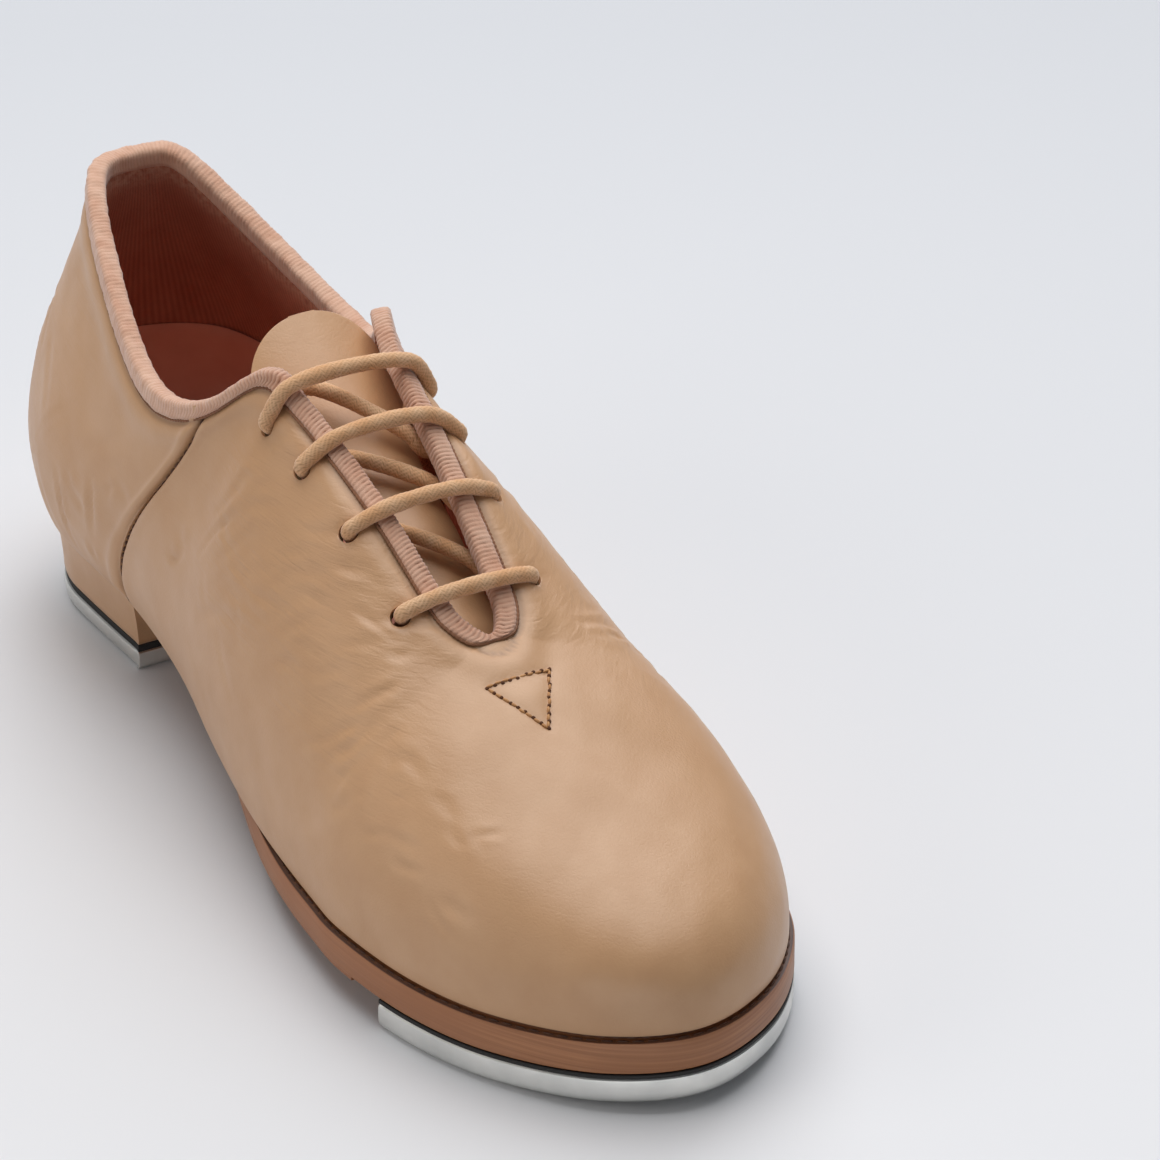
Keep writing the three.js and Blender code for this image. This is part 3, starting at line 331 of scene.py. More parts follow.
def upper_point(s, t):
    """Outer face of the upper: s runs round the shoe, t from the sole (0) to the top (1)."""
    s, t = np.broadcast_arrays(np.asarray(s, float), np.asarray(t, float))
    foot, top, out = feather(s), top_at(s), outward_at(s)
    low_share, bow, share, out_top, drop = np.moveaxis(shape_at(s), -1, 0)
    rise = top[..., 2] - foot[..., 2]
    low = np.concatenate([foot[..., :2] + out * bow[..., None],
                          (foot[..., 2] + low_share * rise)[..., None]], axis=-1)
    high_xy = top[..., :2] + share[..., None] * (foot - top)[..., :2] + out * out_top[..., None]
    lean = np.minimum(1, share / 0.5) * ridge_slope(top[..., 0]) * (high_xy[..., 0] - top[..., 0])
    high = np.concatenate([high_xy, (top[..., 2] - drop * rise + lean)[..., None]], axis=-1)
    u, t = (1 - t)[..., None], t[..., None]
    return u**3 * foot + 3 * t * u**2 * low + 3 * t**2 * u * high + t**3 * top


def upper_normal(s, t):
    s, t = np.broadcast_arrays(np.asarray(s, float), np.asarray(t, float))
    near = np.minimum(t, 0.985)
    along_s = upper_point(s + 0.02, near) - upper_point(s - 0.02, near)
    along_t = upper_point(s, near + 0.01) - upper_point(s, near - 0.01)
    normal = unit(np.cross(along_s, along_t))
    slope = ridge_slope(top_at(s)[..., 0])
    ridge = unit(np.stack([-slope, 0 * slope, 0 * slope + 1], axis=-1))
    settle = np.where(on_ridge(s), smooth(0.95, 1, t), 0)[..., None]
    return unit(normal * (1 - settle) + ridge * settle)


def offset_point(s, t, depth):
    return upper_point(s, t) - upper_normal(s, t) * np.asarray(depth, float)[..., None]


def below_edge(s, distances):
    """t at distances (mm) below the top edge, one row for each s."""
    s = np.atleast_1d(np.asarray(s, float))
    t = np.linspace(1, 0, 240)
    lines = upper_point(s[:, None], t[None, :])
    steps = np.linalg.norm(np.diff(lines, axis=1), axis=2)
    length = np.concatenate([np.zeros((len(s), 1)), np.cumsum(steps, axis=1)], axis=1)
    distances = np.broadcast_to(distances, (len(s), np.shape(distances)[-1]))
    return np.array([np.interp(want, row, t) for want, row in zip(distances, length)]), length[:, -1]


def eyelet(s, depth, inset=EYELET_INSET):
    t = below_edge(s, [inset])[0][:, 0]
    return offset_point(np.atleast_1d(s), t, depth)[0]


def wall_rows(s, edge_cells, cell, wall_cells):
    """t up each line: small even cells near the edge, then even cells down to the sole."""
    _, length = below_edge(s, [0.0])
    near = np.arange(edge_cells) * cell
    foot = 0.4
    rest = np.linspace(0, 1, wall_cells + 1)[None, :]
    start = near[-1] + cell
    down = start + rest * np.maximum(length[:, None] - foot - start, 1)
    distances = np.concatenate([np.repeat(near[None, :], len(s), axis=0), down], axis=1)
    t, _ = below_edge(s, distances)
    return t[:, ::-1], distances[:, ::-1]


SEAM_GAP = 0.006                  # station numbers, from a side seam on
SEAM_STEPS = (0.012, 0.02, 0.03, 0.042, 0.056, 0.072, 0.09, 0.11, 0.135, 0.165, 0.2, 0.24)


def station_rows(start, end, per_station, fine=()):
    """Station numbers from start to end, closer together near both ends (the side seams)."""
    even = np.linspace(start, end, int(round((end - start) * per_station)) + 1)[1:-1]
    ends = np.array([SEAM_GAP, *fine])
    inner = even[(even > start + ends[-1] + 0.02) & (even < end - ends[-1] - 0.02)]
    return np.concatenate([start + ends, inner, (end - ends)[::-1]])


# ---- meshes -------------------------------------------------------------------------------
def mesh_object(name, vertices, faces, uv=None, **attributes):
    """A new object at the origin, its place in its mesh; uv and attributes are per vertex."""
    mesh = bpy.data.meshes.new(name)
    mesh.from_pydata(to_frame(vertices).tolist(), [], [tuple(face) for face in faces])
    for key, values in attributes.items():
        mesh.attributes.new(key, "FLOAT", "POINT").data.foreach_set("value", np.asarray(values, np.float32))
    if uv is not None:
        corner = np.empty(len(mesh.loops), np.int32)
        mesh.loops.foreach_get("vertex_index", corner)
        layer = mesh.uv_layers.new(name="UVMap")
        layer.data.foreach_set("uv", np.asarray(uv, np.float32)[corner].ravel())
    piece = bpy.data.objects.new(name, mesh)
    bpy.context.scene.collection.objects.link(piece)
    return piece


def quads(rows, columns, start=0, close_rows=False, close_columns=False):
    """Faces of a grid of vertices, row by row."""
    i = np.arange(rows if close_rows else rows - 1)[:, None]
    j = np.arange(columns if close_columns else columns - 1)[None, :]
    a = start + i * columns + j
    b = start + ((i + 1) % rows) * columns + j
    c = start + ((i + 1) % rows) * columns + (j + 1) % columns
    d = start + i * columns + (j + 1) % columns
    return np.stack([a, b, c, d], axis=-1).reshape(-1, 4).tolist()


def sheet_object(name, outer, inner, uv, skip_top=None, **attributes):
    """A closed sheet between two grids of points. skip_top marks rows that meet on the ridge."""
    rows, columns = outer.shape[:2]
    vertices = np.concatenate([outer.reshape(-1, 3), inner.reshape(-1, 3)])
    faces = quads(rows, columns)
    size = rows * columns
    faces += [face[::-1] for face in quads(rows, columns, start=size)]
    skip_top = np.zeros(rows - 1, bool) if skip_top is None else skip_top
    for i in range(rows - 1):
        a, b = i * columns, (i + 1) * columns
        faces.append((a, a + size, b + size, b))
        if not skip_top[i]:
            a, b = a + columns - 1, b + columns - 1
            faces.append((a, b, b + size, a + size))
    for j in range(columns - 1):
        last = (rows - 1) * columns
        faces.append((j, j + 1, j + 1 + size, j + size))
        faces.append((last + j, last + j + size, last + j + 1 + size, last + j + 1))
    both = {key: np.concatenate([np.ravel(value), np.ravel(value)]) for key, value in attributes.items()}
    piece = mesh_object(name, vertices, faces, np.concatenate([uv.reshape(-1, 2)] * 2), **both)
    return tidy_mesh(piece)


def tidy_mesh(piece, merge=0.00001, angle=40):
    """Doubles merged, normals outwards and soft shading, by the usual edit mode commands."""
    activate(piece)
    bpy.ops.object.mode_set(mode="EDIT")
    bpy.ops.mesh.select_all(action="SELECT")
    bpy.ops.mesh.remove_doubles(threshold=merge)
    bpy.ops.mesh.normals_make_consistent(inside=False)
    bpy.ops.object.mode_set(mode="OBJECT")
    bpy.ops.object.shade_smooth_by_angle(angle=math.radians(angle))
    return piece


def activate(piece):
    bpy.ops.object.select_all(action="DESELECT")
    piece.select_set(True)
    bpy.context.view_layer.objects.active = piece


def tube_object(name, path, radii, sides, **attributes):
    """A closed tube along a path; radii has one value for each vertex (rows by sides)."""
    along = unit(np.gradient(path, axis=0))
    side = np.zeros_like(path)
    current = unit(np.cross(along[0], [0.3, 0.2, 1.0]))
    for k, direction in enumerate(along):
        current = unit(current - direction * (current @ direction))
        side[k] = current
    up = np.cross(along, side)
    angle = np.linspace(0, 2 * math.pi, sides, endpoint=False)
    ring = side[:, None] * np.cos(angle)[None, :, None] + up[:, None] * np.sin(angle)[None, :, None]
    vertices = (path[:, None] + ring * radii[..., None]).reshape(-1, 3)
    faces = quads(len(path), sides, close_columns=True)
    faces += [tuple(range(sides))[::-1], tuple(range(len(vertices) - sides, len(vertices)))]
    uv = np.stack(np.broadcast_arrays(run_along(path)[:, None], angle[None, :]), axis=-1).reshape(-1, 2)
    return tidy_mesh(mesh_object(name, vertices, faces, uv, **attributes), merge=1e-7)


def stitches_object(name, centres, along, normals, length, radius):
    """Short rounded threads, one at each centre, modelled once and copied."""
    rings, sides = 5, 8
    polar = np.linspace(0, math.pi, rings + 1)
    angle = np.linspace(0, 2 * math.pi, sides, endpoint=False)
    ball = np.stack(np.broadcast_arrays(np.cos(polar)[:, None],
                                        np.sin(polar)[:, None] * np.cos(angle),
                                        np.sin(polar)[:, None] * np.sin(angle)), axis=-1).reshape(-1, 3)
    pattern = np.array(quads(rings + 1, sides, close_columns=True))
    along, normals = unit(np.asarray(along)), unit(np.asarray(normals))
    across = np.cross(normals, along)
    half = np.array([length / 2, radius, radius])
    parts = [centre + (ball * half) @ np.stack([a, c, n])
             for centre, a, c, n in zip(centres, along, across, normals)]
    faces = np.concatenate([pattern + k * len(ball) for k in range(len(parts))])
    return tidy_mesh(mesh_object(name, np.concatenate(parts), faces.tolist()), merge=1e-6, angle=180)


def carve(piece, cutters):
    """Cuts the given closed objects out of a piece and removes them."""
    for cutter in cutters:
        modifier = piece.modifiers.new("cut", "BOOLEAN")
        modifier.operation = "DIFFERENCE"
        modifier.solver = "EXACT"
        modifier.object = cutter
        activate(piece)
        bpy.ops.object.modifier_apply(modifier=modifier.name)
        bpy.data.objects.remove(cutter)
    bpy.ops.object.shade_smooth_by_angle(angle=math.radians(40))


def punch(name, radius):
    """One object of round punches, one through each eyelet."""
    offset = EYELET_INSET + 0.5
    paths = [np.array([eyelet(s, 9.0, offset), eyelet(s, -4.0, offset)])
             for s in OUTER_EYELETS + INNER_EYELETS]
    tools = []
    for k, path in enumerate(paths):
        tools.append(tube_object(f"{name}_{k}", path, np.full((2, 28), radius), 28))
    bpy.ops.object.select_all(action="DESELECT")
    for tool in tools:
        tool.select_set(True)
    bpy.context.view_layer.objects.active = tools[0]
    bpy.ops.object.join()
    return tools[0]


def plate(name, outline, levels, columns=12):
    """A closed plate between two facing edges, raised level by level.

    outline(inset) gives the two edges (rows of x, y); each level is (inset, base, rise), where
    base(x) is a height along the shoe. A flat grid is laid between the edges, then its whole
    face is extruded to each level.
    """
    rows = len(outline(0)[0])
    deselect_all()
    bpy.ops.mesh.primitive_grid_add(x_subdivisions=columns, y_subdivisions=rows - 1, size=1)
    piece = bpy.context.active_object
    piece.name = piece.data.name = name
    grid = np.array([v.co for v in piece.data.vertices])
    column_of = np.rint((grid[:, 0] + 0.5) * columns).astype(int)
    row_of = np.rint((grid[:, 1] + 0.5) * (rows - 1)).astype(int)

    def places(level):
        inset, base, rise = level
        low, high = outline(inset)
        share = (column_of / columns)[:, None]
        flat = low[row_of] * (1 - share) + high[row_of] * share
        return np.concatenate([flat, (base(flat[:, 0]) + rise)[:, None]], axis=1)

    raise_levels(piece, [to_frame(places(level)) for level in levels])
    return tidy_mesh(piece, merge=0.000005, angle=35)


def raise_levels(piece, levels):
    """Lays a flat face on the first level, then extrudes it through the others."""
    order = piece.data.attributes.new("order", "INT", "POINT")
    order.data.foreach_set("value", np.arange(len(piece.data.vertices), dtype=np.int32))
    for vertex, place in zip(piece.data.vertices, levels[0]):
        vertex.co = place
    bpy.ops.object.mode_set(mode="EDIT")
    bpy.ops.mesh.select_mode(type="FACE")
    bpy.ops.mesh.select_all(action="SELECT")
    for places in levels[1:]:
        bpy.ops.mesh.extrude_region_move(TRANSFORM_OT_translate={"value": (0, 0, 0.0001)})
        work = bmesh.from_edit_mesh(piece.data)
        layer = work.verts.layers.int["order"]
        for vertex in work.verts:
            if vertex.select:
                vertex.co = places[vertex[layer]]
        bmesh.update_edit_mesh(piece.data)
    bpy.ops.object.mode_set(mode="OBJECT")
    piece.data.attributes.remove(piece.data.attributes["order"])


def select_faces(piece, wanted):
    """Selects the faces of a piece in edit mode that pass a test."""
    work = bmesh.from_edit_mesh(piece.data)
    for face in work.faces:
        face.select = wanted(face)
    bmesh.update_edit_mesh(piece.data)


def deselect_all():
    if bpy.context.object and bpy.context.object.mode != "OBJECT":
        bpy.ops.object.mode_set(mode="OBJECT")
    bpy.ops.object.select_all(action="DESELECT")


def copy_of(node, name):
    """A merged copy of a CAD node, for a hidden piece that has to bend."""
    piece = bpy.data.objects.new(name, frame["nodes"][node].data.copy())
    bpy.context.scene.collection.objects.link(piece)
    return tidy_mesh(piece)


# ---- materials ----------------------------------------------------------------------------
def linear(code):
    """sRGB hex to the linear colour that shaders work in."""
    values = [int(code[k:k + 2], 16) / 255 for k in (1, 3, 5)]
    return (*[v / 12.92 if v <= 0.04045 else ((v + 0.055) / 1.055) ** 2.4 for v in values], 1.0)


def add(tree, kind, settings=None, links=None):
    """Adds one node; a setting is a property or an input, and a link joins an output to an input."""
    node = tree.nodes.new(kind)
    for key, value in (settings or {}).items():
        if isinstance(key, str) and hasattr(node, key):
            setattr(node, key, value)
        else:
            node.inputs[key].default_value = value
    for key, source in (links or {}).items():
        tree.links.new(source, node.inputs[key])
    return node


def new_material(name, **settings):
    """A named material with one shader; returns it, its tree and the shader."""
    material = bpy.data.materials.new(name)
    material.use_nodes = True
    tree = material.node_tree
    tree.nodes.clear()
    shader = add(tree, "ShaderNodeBsdfPrincipled",
                 {key.replace("_", " "): value for key, value in settings.items()})
    add(tree, "ShaderNodeOutputMaterial", links={"Surface": shader.outputs[0]})
    return material, tree, shader


def mottle(tree, coordinates, size, low, high, first, second, mapping=None, detail=3.0):
    """Two colours mixed in soft patches of a real size in metres."""
    where = coordinates
    if mapping is not None:
        where = add(tree, "ShaderNodeMapping", mapping, {"Vector": coordinates}).outputs[0]
    noise = add(tree, "ShaderNodeTexNoise", {"Scale": 1 / size, "Detail": detail}, {"Vector": where})
    share = add(tree, "ShaderNodeMapRange", {"From Min": low, "From Max": high}, {"Value": noise.outputs[0]})
    mix = add(tree, "ShaderNodeMix", {"data_type": "RGBA"}, {0: share.outputs[0]})
    for socket, colour in ((mix.inputs[6], first), (mix.inputs[7], second)):
        if isinstance(colour, str):
            socket.default_value = linear(colour)
        else:
            tree.links.new(colour, socket)
    return mix.outputs[2], noise.outputs[0]


def darken(tree, colour, attribute, dark, strength=1.0):
    """Mixes in a darker colour by a vertex attribute: painted shade in grooves, cracks and gaps, and on the
    sole also a real edge stain.
    """
    mask = add(tree, "ShaderNodeAttribute", {"attribute_name": attribute})
    share = add(tree, "ShaderNodeMath", {"operation": "MULTIPLY", 1: strength}, {0: mask.outputs["Fac"]})
    mix = add(tree, "ShaderNodeMix", {"data_type": "RGBA", 7: linear(dark)},
              {0: share.outputs[0], 6: colour})
    return mix.outputs[2]


# noise stays mostly between these two values
NOISE_RANGE = {"From Min": 0.3, "From Max": 0.7}


def nappa_leather(name, base, light, deep):
    """Drum-dyed nappa: soft satin face, faint pebble grain, fine stretch lines, and painted shade in its
    grooves, seam cracks and eyelet dimples.
    """
    material, tree, shader = new_material(name, Specular_IOR_Level=0.5, Coat_Weight=0.26,
                                          Coat_Roughness=0.36, Sheen_Weight=0.05, Sheen_Roughness=0.4)
    place = add(tree, "ShaderNodeTexCoord").outputs["Object"]
    tone, _ = mottle(tree, place, 0.060, 0.3, 0.7, base, light)
    tone, patches = mottle(tree, place, 0.009, 0.3, 0.9, tone, deep, detail=4.0)
    # painted shade: darker leather where the 'shade' attribute is set, in the binding groove, the seam
    # cracks, the eyelet dimples and the rims of the heel cover
    colour = darken(tree, tone, "shade", "#7A5436", 0.8)
    tree.links.new(colour, shader.inputs["Base Color"])
    gloss = add(tree, "ShaderNodeMapRange", {**NOISE_RANGE, "To Min": 0.42, "To Max": 0.5},
                {"Value": patches})
    tree.links.new(gloss.outputs[0], shader.inputs["Roughness"])
    # pebble grain about 0.9 mm across
    grain = add(tree, "ShaderNodeTexVoronoi", {"feature": "DISTANCE_TO_EDGE", "Scale": 1 / 0.0009},
                {"Vector": place})
    soft = add(tree, "ShaderNodeMapRange", {"From Max": 0.25}, {"Value": grain.outputs["Distance"]})
    # stretch lines 0.8 mm apart and a few millimetres long, only where the leather flexes
    turned = add(tree, "ShaderNodeMapping",
                 {"Rotation": (0.0, math.radians(38), 0.0), "Scale": (1 / 0.011, 1 / 0.004, 1 / 0.0009)},
                 {"Vector": place})
    lines = add(tree, "ShaderNodeTexNoise", {"Scale": 1.0, "Detail": 3.0, "Distortion": 0.6},
                {"Vector": turned.outputs[0]})
    flex = add(tree, "ShaderNodeAttribute", {"attribute_name": "flex"})
    worn = add(tree, "ShaderNodeMath", {"operation": "MULTIPLY"},
               {0: lines.outputs[0], 1: flex.outputs["Fac"]})
    pebbles = add(tree, "ShaderNodeBump", {"Strength": 0.5, "Distance": 0.00003},
                  {"Height": soft.outputs[0]})
    stretched = add(tree, "ShaderNodeBump", {"Strength": 0.8, "Distance": 0.00024},
                    {"Height": worn.outputs[0], "Normal": pebbles.outputs[0]})
    uneven = add(tree, "ShaderNodeBump", {"Strength": 0.3, "Distance": 0.0002},
                 {"Height": patches, "Normal": stretched.outputs[0]})
    tree.links.new(uneven.outputs[0], shader.inputs["Normal"])
    return material


def binding_tape():
    """Ribbed elastic edge tape: matt, slightly fuzzy, pinkish tan, with painted shade in the grooves between
    its ribs.
    """
    material, tree, shader = new_material("ribbed_elastic_tape", Roughness=0.9, Sheen_Weight=0.5,
                                          Sheen_Roughness=0.5, Specular_IOR_Level=0.25)
    place = add(tree, "ShaderNodeTexCoord").outputs["Object"]
    tone, _ = mottle(tree, place, 0.006, 0.35, 0.65, "#D2A388", "#DDB59C")
    # painted shade: darker tape in the grooves between the ribs, by the 'groove' attribute
    colour = darken(tree, tone, "groove", "#9A6247", 0.9)
    tree.links.new(colour, shader.inputs["Base Color"])
    fuzz = add(tree, "ShaderNodeTexNoise", {"Scale": 1 / 0.0003, "Detail": 4.0}, {"Vector": place})
    nap = add(tree, "ShaderNodeBump", {"Strength": 0.7, "Distance": 0.00015}, {"Height": fuzz.outputs[0]})
    tree.links.new(nap.outputs[0], shader.inputs["Normal"])
    return material


def lining_cloth():
    """Brushed cotton lining: dark red brown, fine ribs 1.1 mm apart running up the wall."""
    material, tree, shader = new_material("brushed_cotton_lining", Roughness=0.95, Sheen_Weight=0.2,
                                          Sheen_Roughness=0.5, Specular_IOR_Level=0.1,
                                          Sheen_Tint=linear("#E0A890"))
    coordinates = add(tree, "ShaderNodeTexCoord")
    place = coordinates.outputs["Object"]
    tone, _ = mottle(tree, place, 0.009, 0.3, 0.7, "#B4705A", "#C07E67")
    parts = add(tree, "ShaderNodeSeparateXYZ", links={0: coordinates.outputs["UV"]})
    turn = add(tree, "ShaderNodeMath", {"operation": "MULTIPLY", 1: 2 * math.pi / 1.1},
               {0: parts.outputs[0]})
    rib = add(tree, "ShaderNodeMath", {"operation": "SINE"}, {0: turn.outputs[0]})
    share = add(tree, "ShaderNodeMapRange", {"From Min": -1.0, "From Max": 1.0, "To Max": 0.28},
                {"Value": rib.outputs[0]})
    # painted shade of the ribs: darker stripes of colour that follow the rib relief
    ribbed = add(tree, "ShaderNodeMix", {"data_type": "RGBA", 7: linear("#7C3C2C")},
                 {0: share.outputs[0], 6: tone})
    # loose fluff of the binding, caught on the nap just under it
    near = add(tree, "ShaderNodeAttribute", {"attribute_name": "fluff"})
    tufts = add(tree, "ShaderNodeTexNoise", {"Scale": 1 / 0.0012, "Detail": 5.0}, {"Vector": place})
    uneven = add(tree, "ShaderNodeMapRange", {**NOISE_RANGE, "To Min": 0.1}, {"Value": tufts.outputs[0]})
    caught = add(tree, "ShaderNodeMath", {"operation": "MULTIPLY"},
                 {0: near.outputs["Fac"], 1: uneven.outputs[0]})
    pale = add(tree, "ShaderNodeMix", {"data_type": "RGBA", 7: linear("#D9AA90")},
               {0: caught.outputs[0], 6: ribbed.outputs[2]})
    tree.links.new(pale.outputs[2], shader.inputs["Base Color"])
    fibres = add(tree, "ShaderNodeTexNoise", {"Scale": 1 / 0.0004, "Detail": 4.0}, {"Vector": place})
    nap = add(tree, "ShaderNodeBump", {"Strength": 0.7, "Distance": 0.0003}, {"Height": fibres.outputs[0]})
    ribs = add(tree, "ShaderNodeBump", {"Strength": 0.5, "Distance": 0.00005},
               {"Height": rib.outputs[0], "Normal": nap.outputs[0]})
    tree.links.new(ribs.outputs[0], shader.inputs["Normal"])
    return material


def sock_leather():
    """Pigskin lining leather: smooth, red brown, a little polished by the foot."""
    material, tree, shader = new_material("pigskin_sock_leather", Roughness=0.6, Specular_IOR_Level=0.4)
    place = add(tree, "ShaderNodeTexCoord").outputs["Object"]
    tone, patches = mottle(tree, place, 0.02, 0.35, 0.65, "#DC9880", "#E6A890")
    tree.links.new(tone, shader.inputs["Base Color"])
    gloss = add(tree, "ShaderNodeMapRange", {**NOISE_RANGE, "To Min": 0.5, "To Max": 0.68},
                {"Value": patches})
    tree.links.new(gloss.outputs[0], shader.inputs["Roughness"])
    pores = add(tree, "ShaderNodeTexVoronoi", {"Scale": 1 / 0.0011}, {"Vector": place})
    grain = add(tree, "ShaderNodeBump", {"Strength": 0.5, "Distance": 0.00005},
                {"Height": pores.outputs["Distance"]})
    tree.links.new(grain.outputs[0], shader.inputs["Normal"])
    return material


def braided_cord():
    """Round cotton braid: golden brown, matt, with shadow between its strands."""
    material, tree, shader = new_material("braided_cotton_cord", Roughness=0.85, Sheen_Weight=0.3,
                                          Sheen_Roughness=0.4, Specular_IOR_Level=0.25)
    place = add(tree, "ShaderNodeTexCoord").outputs["Object"]
    tone, _ = mottle(tree, place, 0.004, 0.35, 0.65, "#E4B284", "#EEC69E")
    # painted shadow: darker colour between the strands of the braid
    colour = darken(tree, tone, "weave", "#9C6A42", 0.75)
    tree.links.new(colour, shader.inputs["Base Color"])
    yarn = add(tree, "ShaderNodeTexNoise", {"Scale": 1 / 0.0003, "Detail": 3.0}, {"Vector": place})
    fibres = add(tree, "ShaderNodeBump", {"Strength": 0.6, "Distance": 0.00012}, {"Height": yarn.outputs[0]})
    tree.links.new(fibres.outputs[0], shader.inputs["Normal"])
    return material


def sole_leather():
    """Burnished sole leather: fibre layers show as fine level lines along its cut edge."""
    material, tree, shader = new_material("burnished_sole_leather", Specular_IOR_Level=0.45,
                                          Coat_Weight=0.12, Coat_Roughness=0.35)
    place = add(tree, "ShaderNodeTexCoord").outputs["Object"]
    layers = {"Scale": (18.0, 18.0, 1500.0)}
    tone, lines = mottle(tree, place, 1.0, 0.3, 0.7, "#965F3A", "#B47A4F", mapping=layers, detail=4.0)
    tone, patches = mottle(tree, place, 0.03, 0.4, 0.7, tone, "#A26A44")
    # dark brown on the stitch channel and the top of the sole: a real edge stain, together with painted
    # shade of the gap under the upper
    colour = darken(tree, tone, "stain_and_shade", "#3E1C0A", 1.0)
    tree.links.new(colour, shader.inputs["Base Color"])
    gloss = add(tree, "ShaderNodeMapRange", {**NOISE_RANGE, "To Min": 0.45, "To Max": 0.6},
                {"Value": patches})
    tree.links.new(gloss.outputs[0], shader.inputs["Roughness"])
    grain = add(tree, "ShaderNodeTexNoise", {"Scale": 1 / 0.0008, "Detail": 3.0}, {"Vector": place})
    rough = add(tree, "ShaderNodeBump", {"Strength": 0.4, "Distance": 0.00008}, {"Height": grain.outputs[0]})
    layered = add(tree, "ShaderNodeBump", {"Strength": 0.5, "Distance": 0.0001},
                  {"Height": lines, "Normal": rough.outputs[0]})
    tree.links.new(layered.outputs[0], shader.inputs["Normal"])
    return material


def tumbled_aluminium():
    """Cast and tumbled aluminium: bright satin, faint scuffs, a slight waviness of the casting."""
    material, tree, shader = new_material("tumbled_aluminium", Metallic=1.0)
    place = add(tree, "ShaderNodeTexCoord").outputs["Object"]
    tone, patches = mottle(tree, place, 0.012, 0.35, 0.65, "#E6E6E2", "#D4D5D2")
    tree.links.new(tone, shader.inputs["Base Color"])
    gloss = add(tree, "ShaderNodeMapRange", {**NOISE_RANGE, "To Min": 0.38, "To Max": 0.5},
                {"Value": patches})
    tree.links.new(gloss.outputs[0], shader.inputs["Roughness"])
    scuffs = add(tree, "ShaderNodeMapping", {"Rotation": (0, 0, 0.5), "Scale": (90.0, 900.0, 900.0)},
                 {"Vector": place})
    scratch = add(tree, "ShaderNodeTexNoise", {"Scale": 2.0, "Detail": 5.0}, {"Vector": scuffs.outputs[0]})
    scuffed = add(tree, "ShaderNodeBump", {"Strength": 0.35, "Distance": 0.00003},
                  {"Height": scratch.outputs[0]})
    wavy = add(tree, "ShaderNodeBump", {"Strength": 0.2, "Distance": 0.0002},
               {"Height": patches, "Normal": scuffed.outputs[0]})
    tree.links.new(wavy.outputs[0], shader.inputs["Normal"])
    return material


def plain_finish(name, first, second, patch, roughness, metallic=0.0, grain=0.0006, depth=0.00005):
    """A finish of two close tones with a fine grain, for small and hidden pieces."""
    material, tree, shader = new_material(name, Metallic=metallic)
    place = add(tree, "ShaderNodeTexCoord").outputs["Object"]
    tone, patches = mottle(tree, place, patch, 0.35, 0.65, first, second)
    tree.links.new(tone, shader.inputs["Base Color"])
    gloss = add(tree, "ShaderNodeMapRange",
                {**NOISE_RANGE, "To Min": roughness - 0.06, "To Max": roughness + 0.08}, {"Value": patches})
    tree.links.new(gloss.outputs[0], shader.inputs["Roughness"])
    fine = add(tree, "ShaderNodeTexNoise", {"Scale": 1 / grain, "Detail": 3.0}, {"Vector": place})
    bumps = add(tree, "ShaderNodeBump", {"Strength": 0.5, "Distance": depth}, {"Height": fine.outputs[0]})
    tree.links.new(bumps.outputs[0], shader.inputs["Normal"])
    return material


def make_finishes(colours):
    leather, light, deep = colours.leather, colours.leather_light, colours.leather_deep
    return {
        "leather": nappa_leather("nappa_upper_leather", leather, light, deep),
        "binding": binding_tape(),
        "lining": lining_cloth(),
        "sock": sock_leather(),
        "cord": braided_cord(),
        "sole": sole_leather(),
        "aluminium": tumbled_aluminium(),
        # waxed polyester thread: dark brown in the seams, golden brown on the vamp
        "seam_thread": plain_finish("waxed_seam_thread", "#4A2A17", "#5C3822", 0.003, 0.6),
        "edge_thread": plain_finish("edge_overlock_thread", "#7E5438", "#926446", 0.003, 0.7),
        "vamp_thread": plain_finish("waxed_vamp_thread", "#B27C48", "#C28E58", 0.003, 0.6),
        # painted shade: dark dots that stand for the shade inside each needle hole
        "needle_hole_shade": plain_finish("needle_hole_shade", "#56321A", "#663E22", 0.003, 0.9),
        # zinc-plated steel: greyer and sharper than the aluminium
        "steel": plain_finish("zinc_plated_steel", "#8D9094", "#A4A7AA", 0.004, 0.34, metallic=1.0),
        # tempered spring steel of the shank, blued by heat
        "spring_steel": plain_finish("blued_spring_steel", "#4B5666", "#5C6674", 0.01, 0.4, metallic=1.0),
        # vulcanised fibre board and rubber under the taps: near black, dull
        "board": plain_finish("black_fibre_board", "#141212", "#1E1B1A", 0.006, 0.65),
        "rubber": plain_finish("black_heel_rubber", "#1A1918", "#232120", 0.006, 0.75),
        # stiffeners of pressed leather fibre
        "fibre": plain_finish("leather_fibre_board", "#9B7B58", "#AE8E69", 0.008, 0.85, grain=0.001),
        "cork": plain_finish("granulated_cork", "#A07A4E", "#6E4E2E", 0.0015, 0.9, grain=0.0012,
                             depth=0.0002),
        # beech: pale, close grain along the block
        "beech": plain_finish("beech_heel_block", "#B98F62", "#A87E52", 0.006, 0.6),
        "film": plain_finish("clear_brown_tip_film", "#8A5A2C", "#9C6A38", 0.003, 0.25),
    }


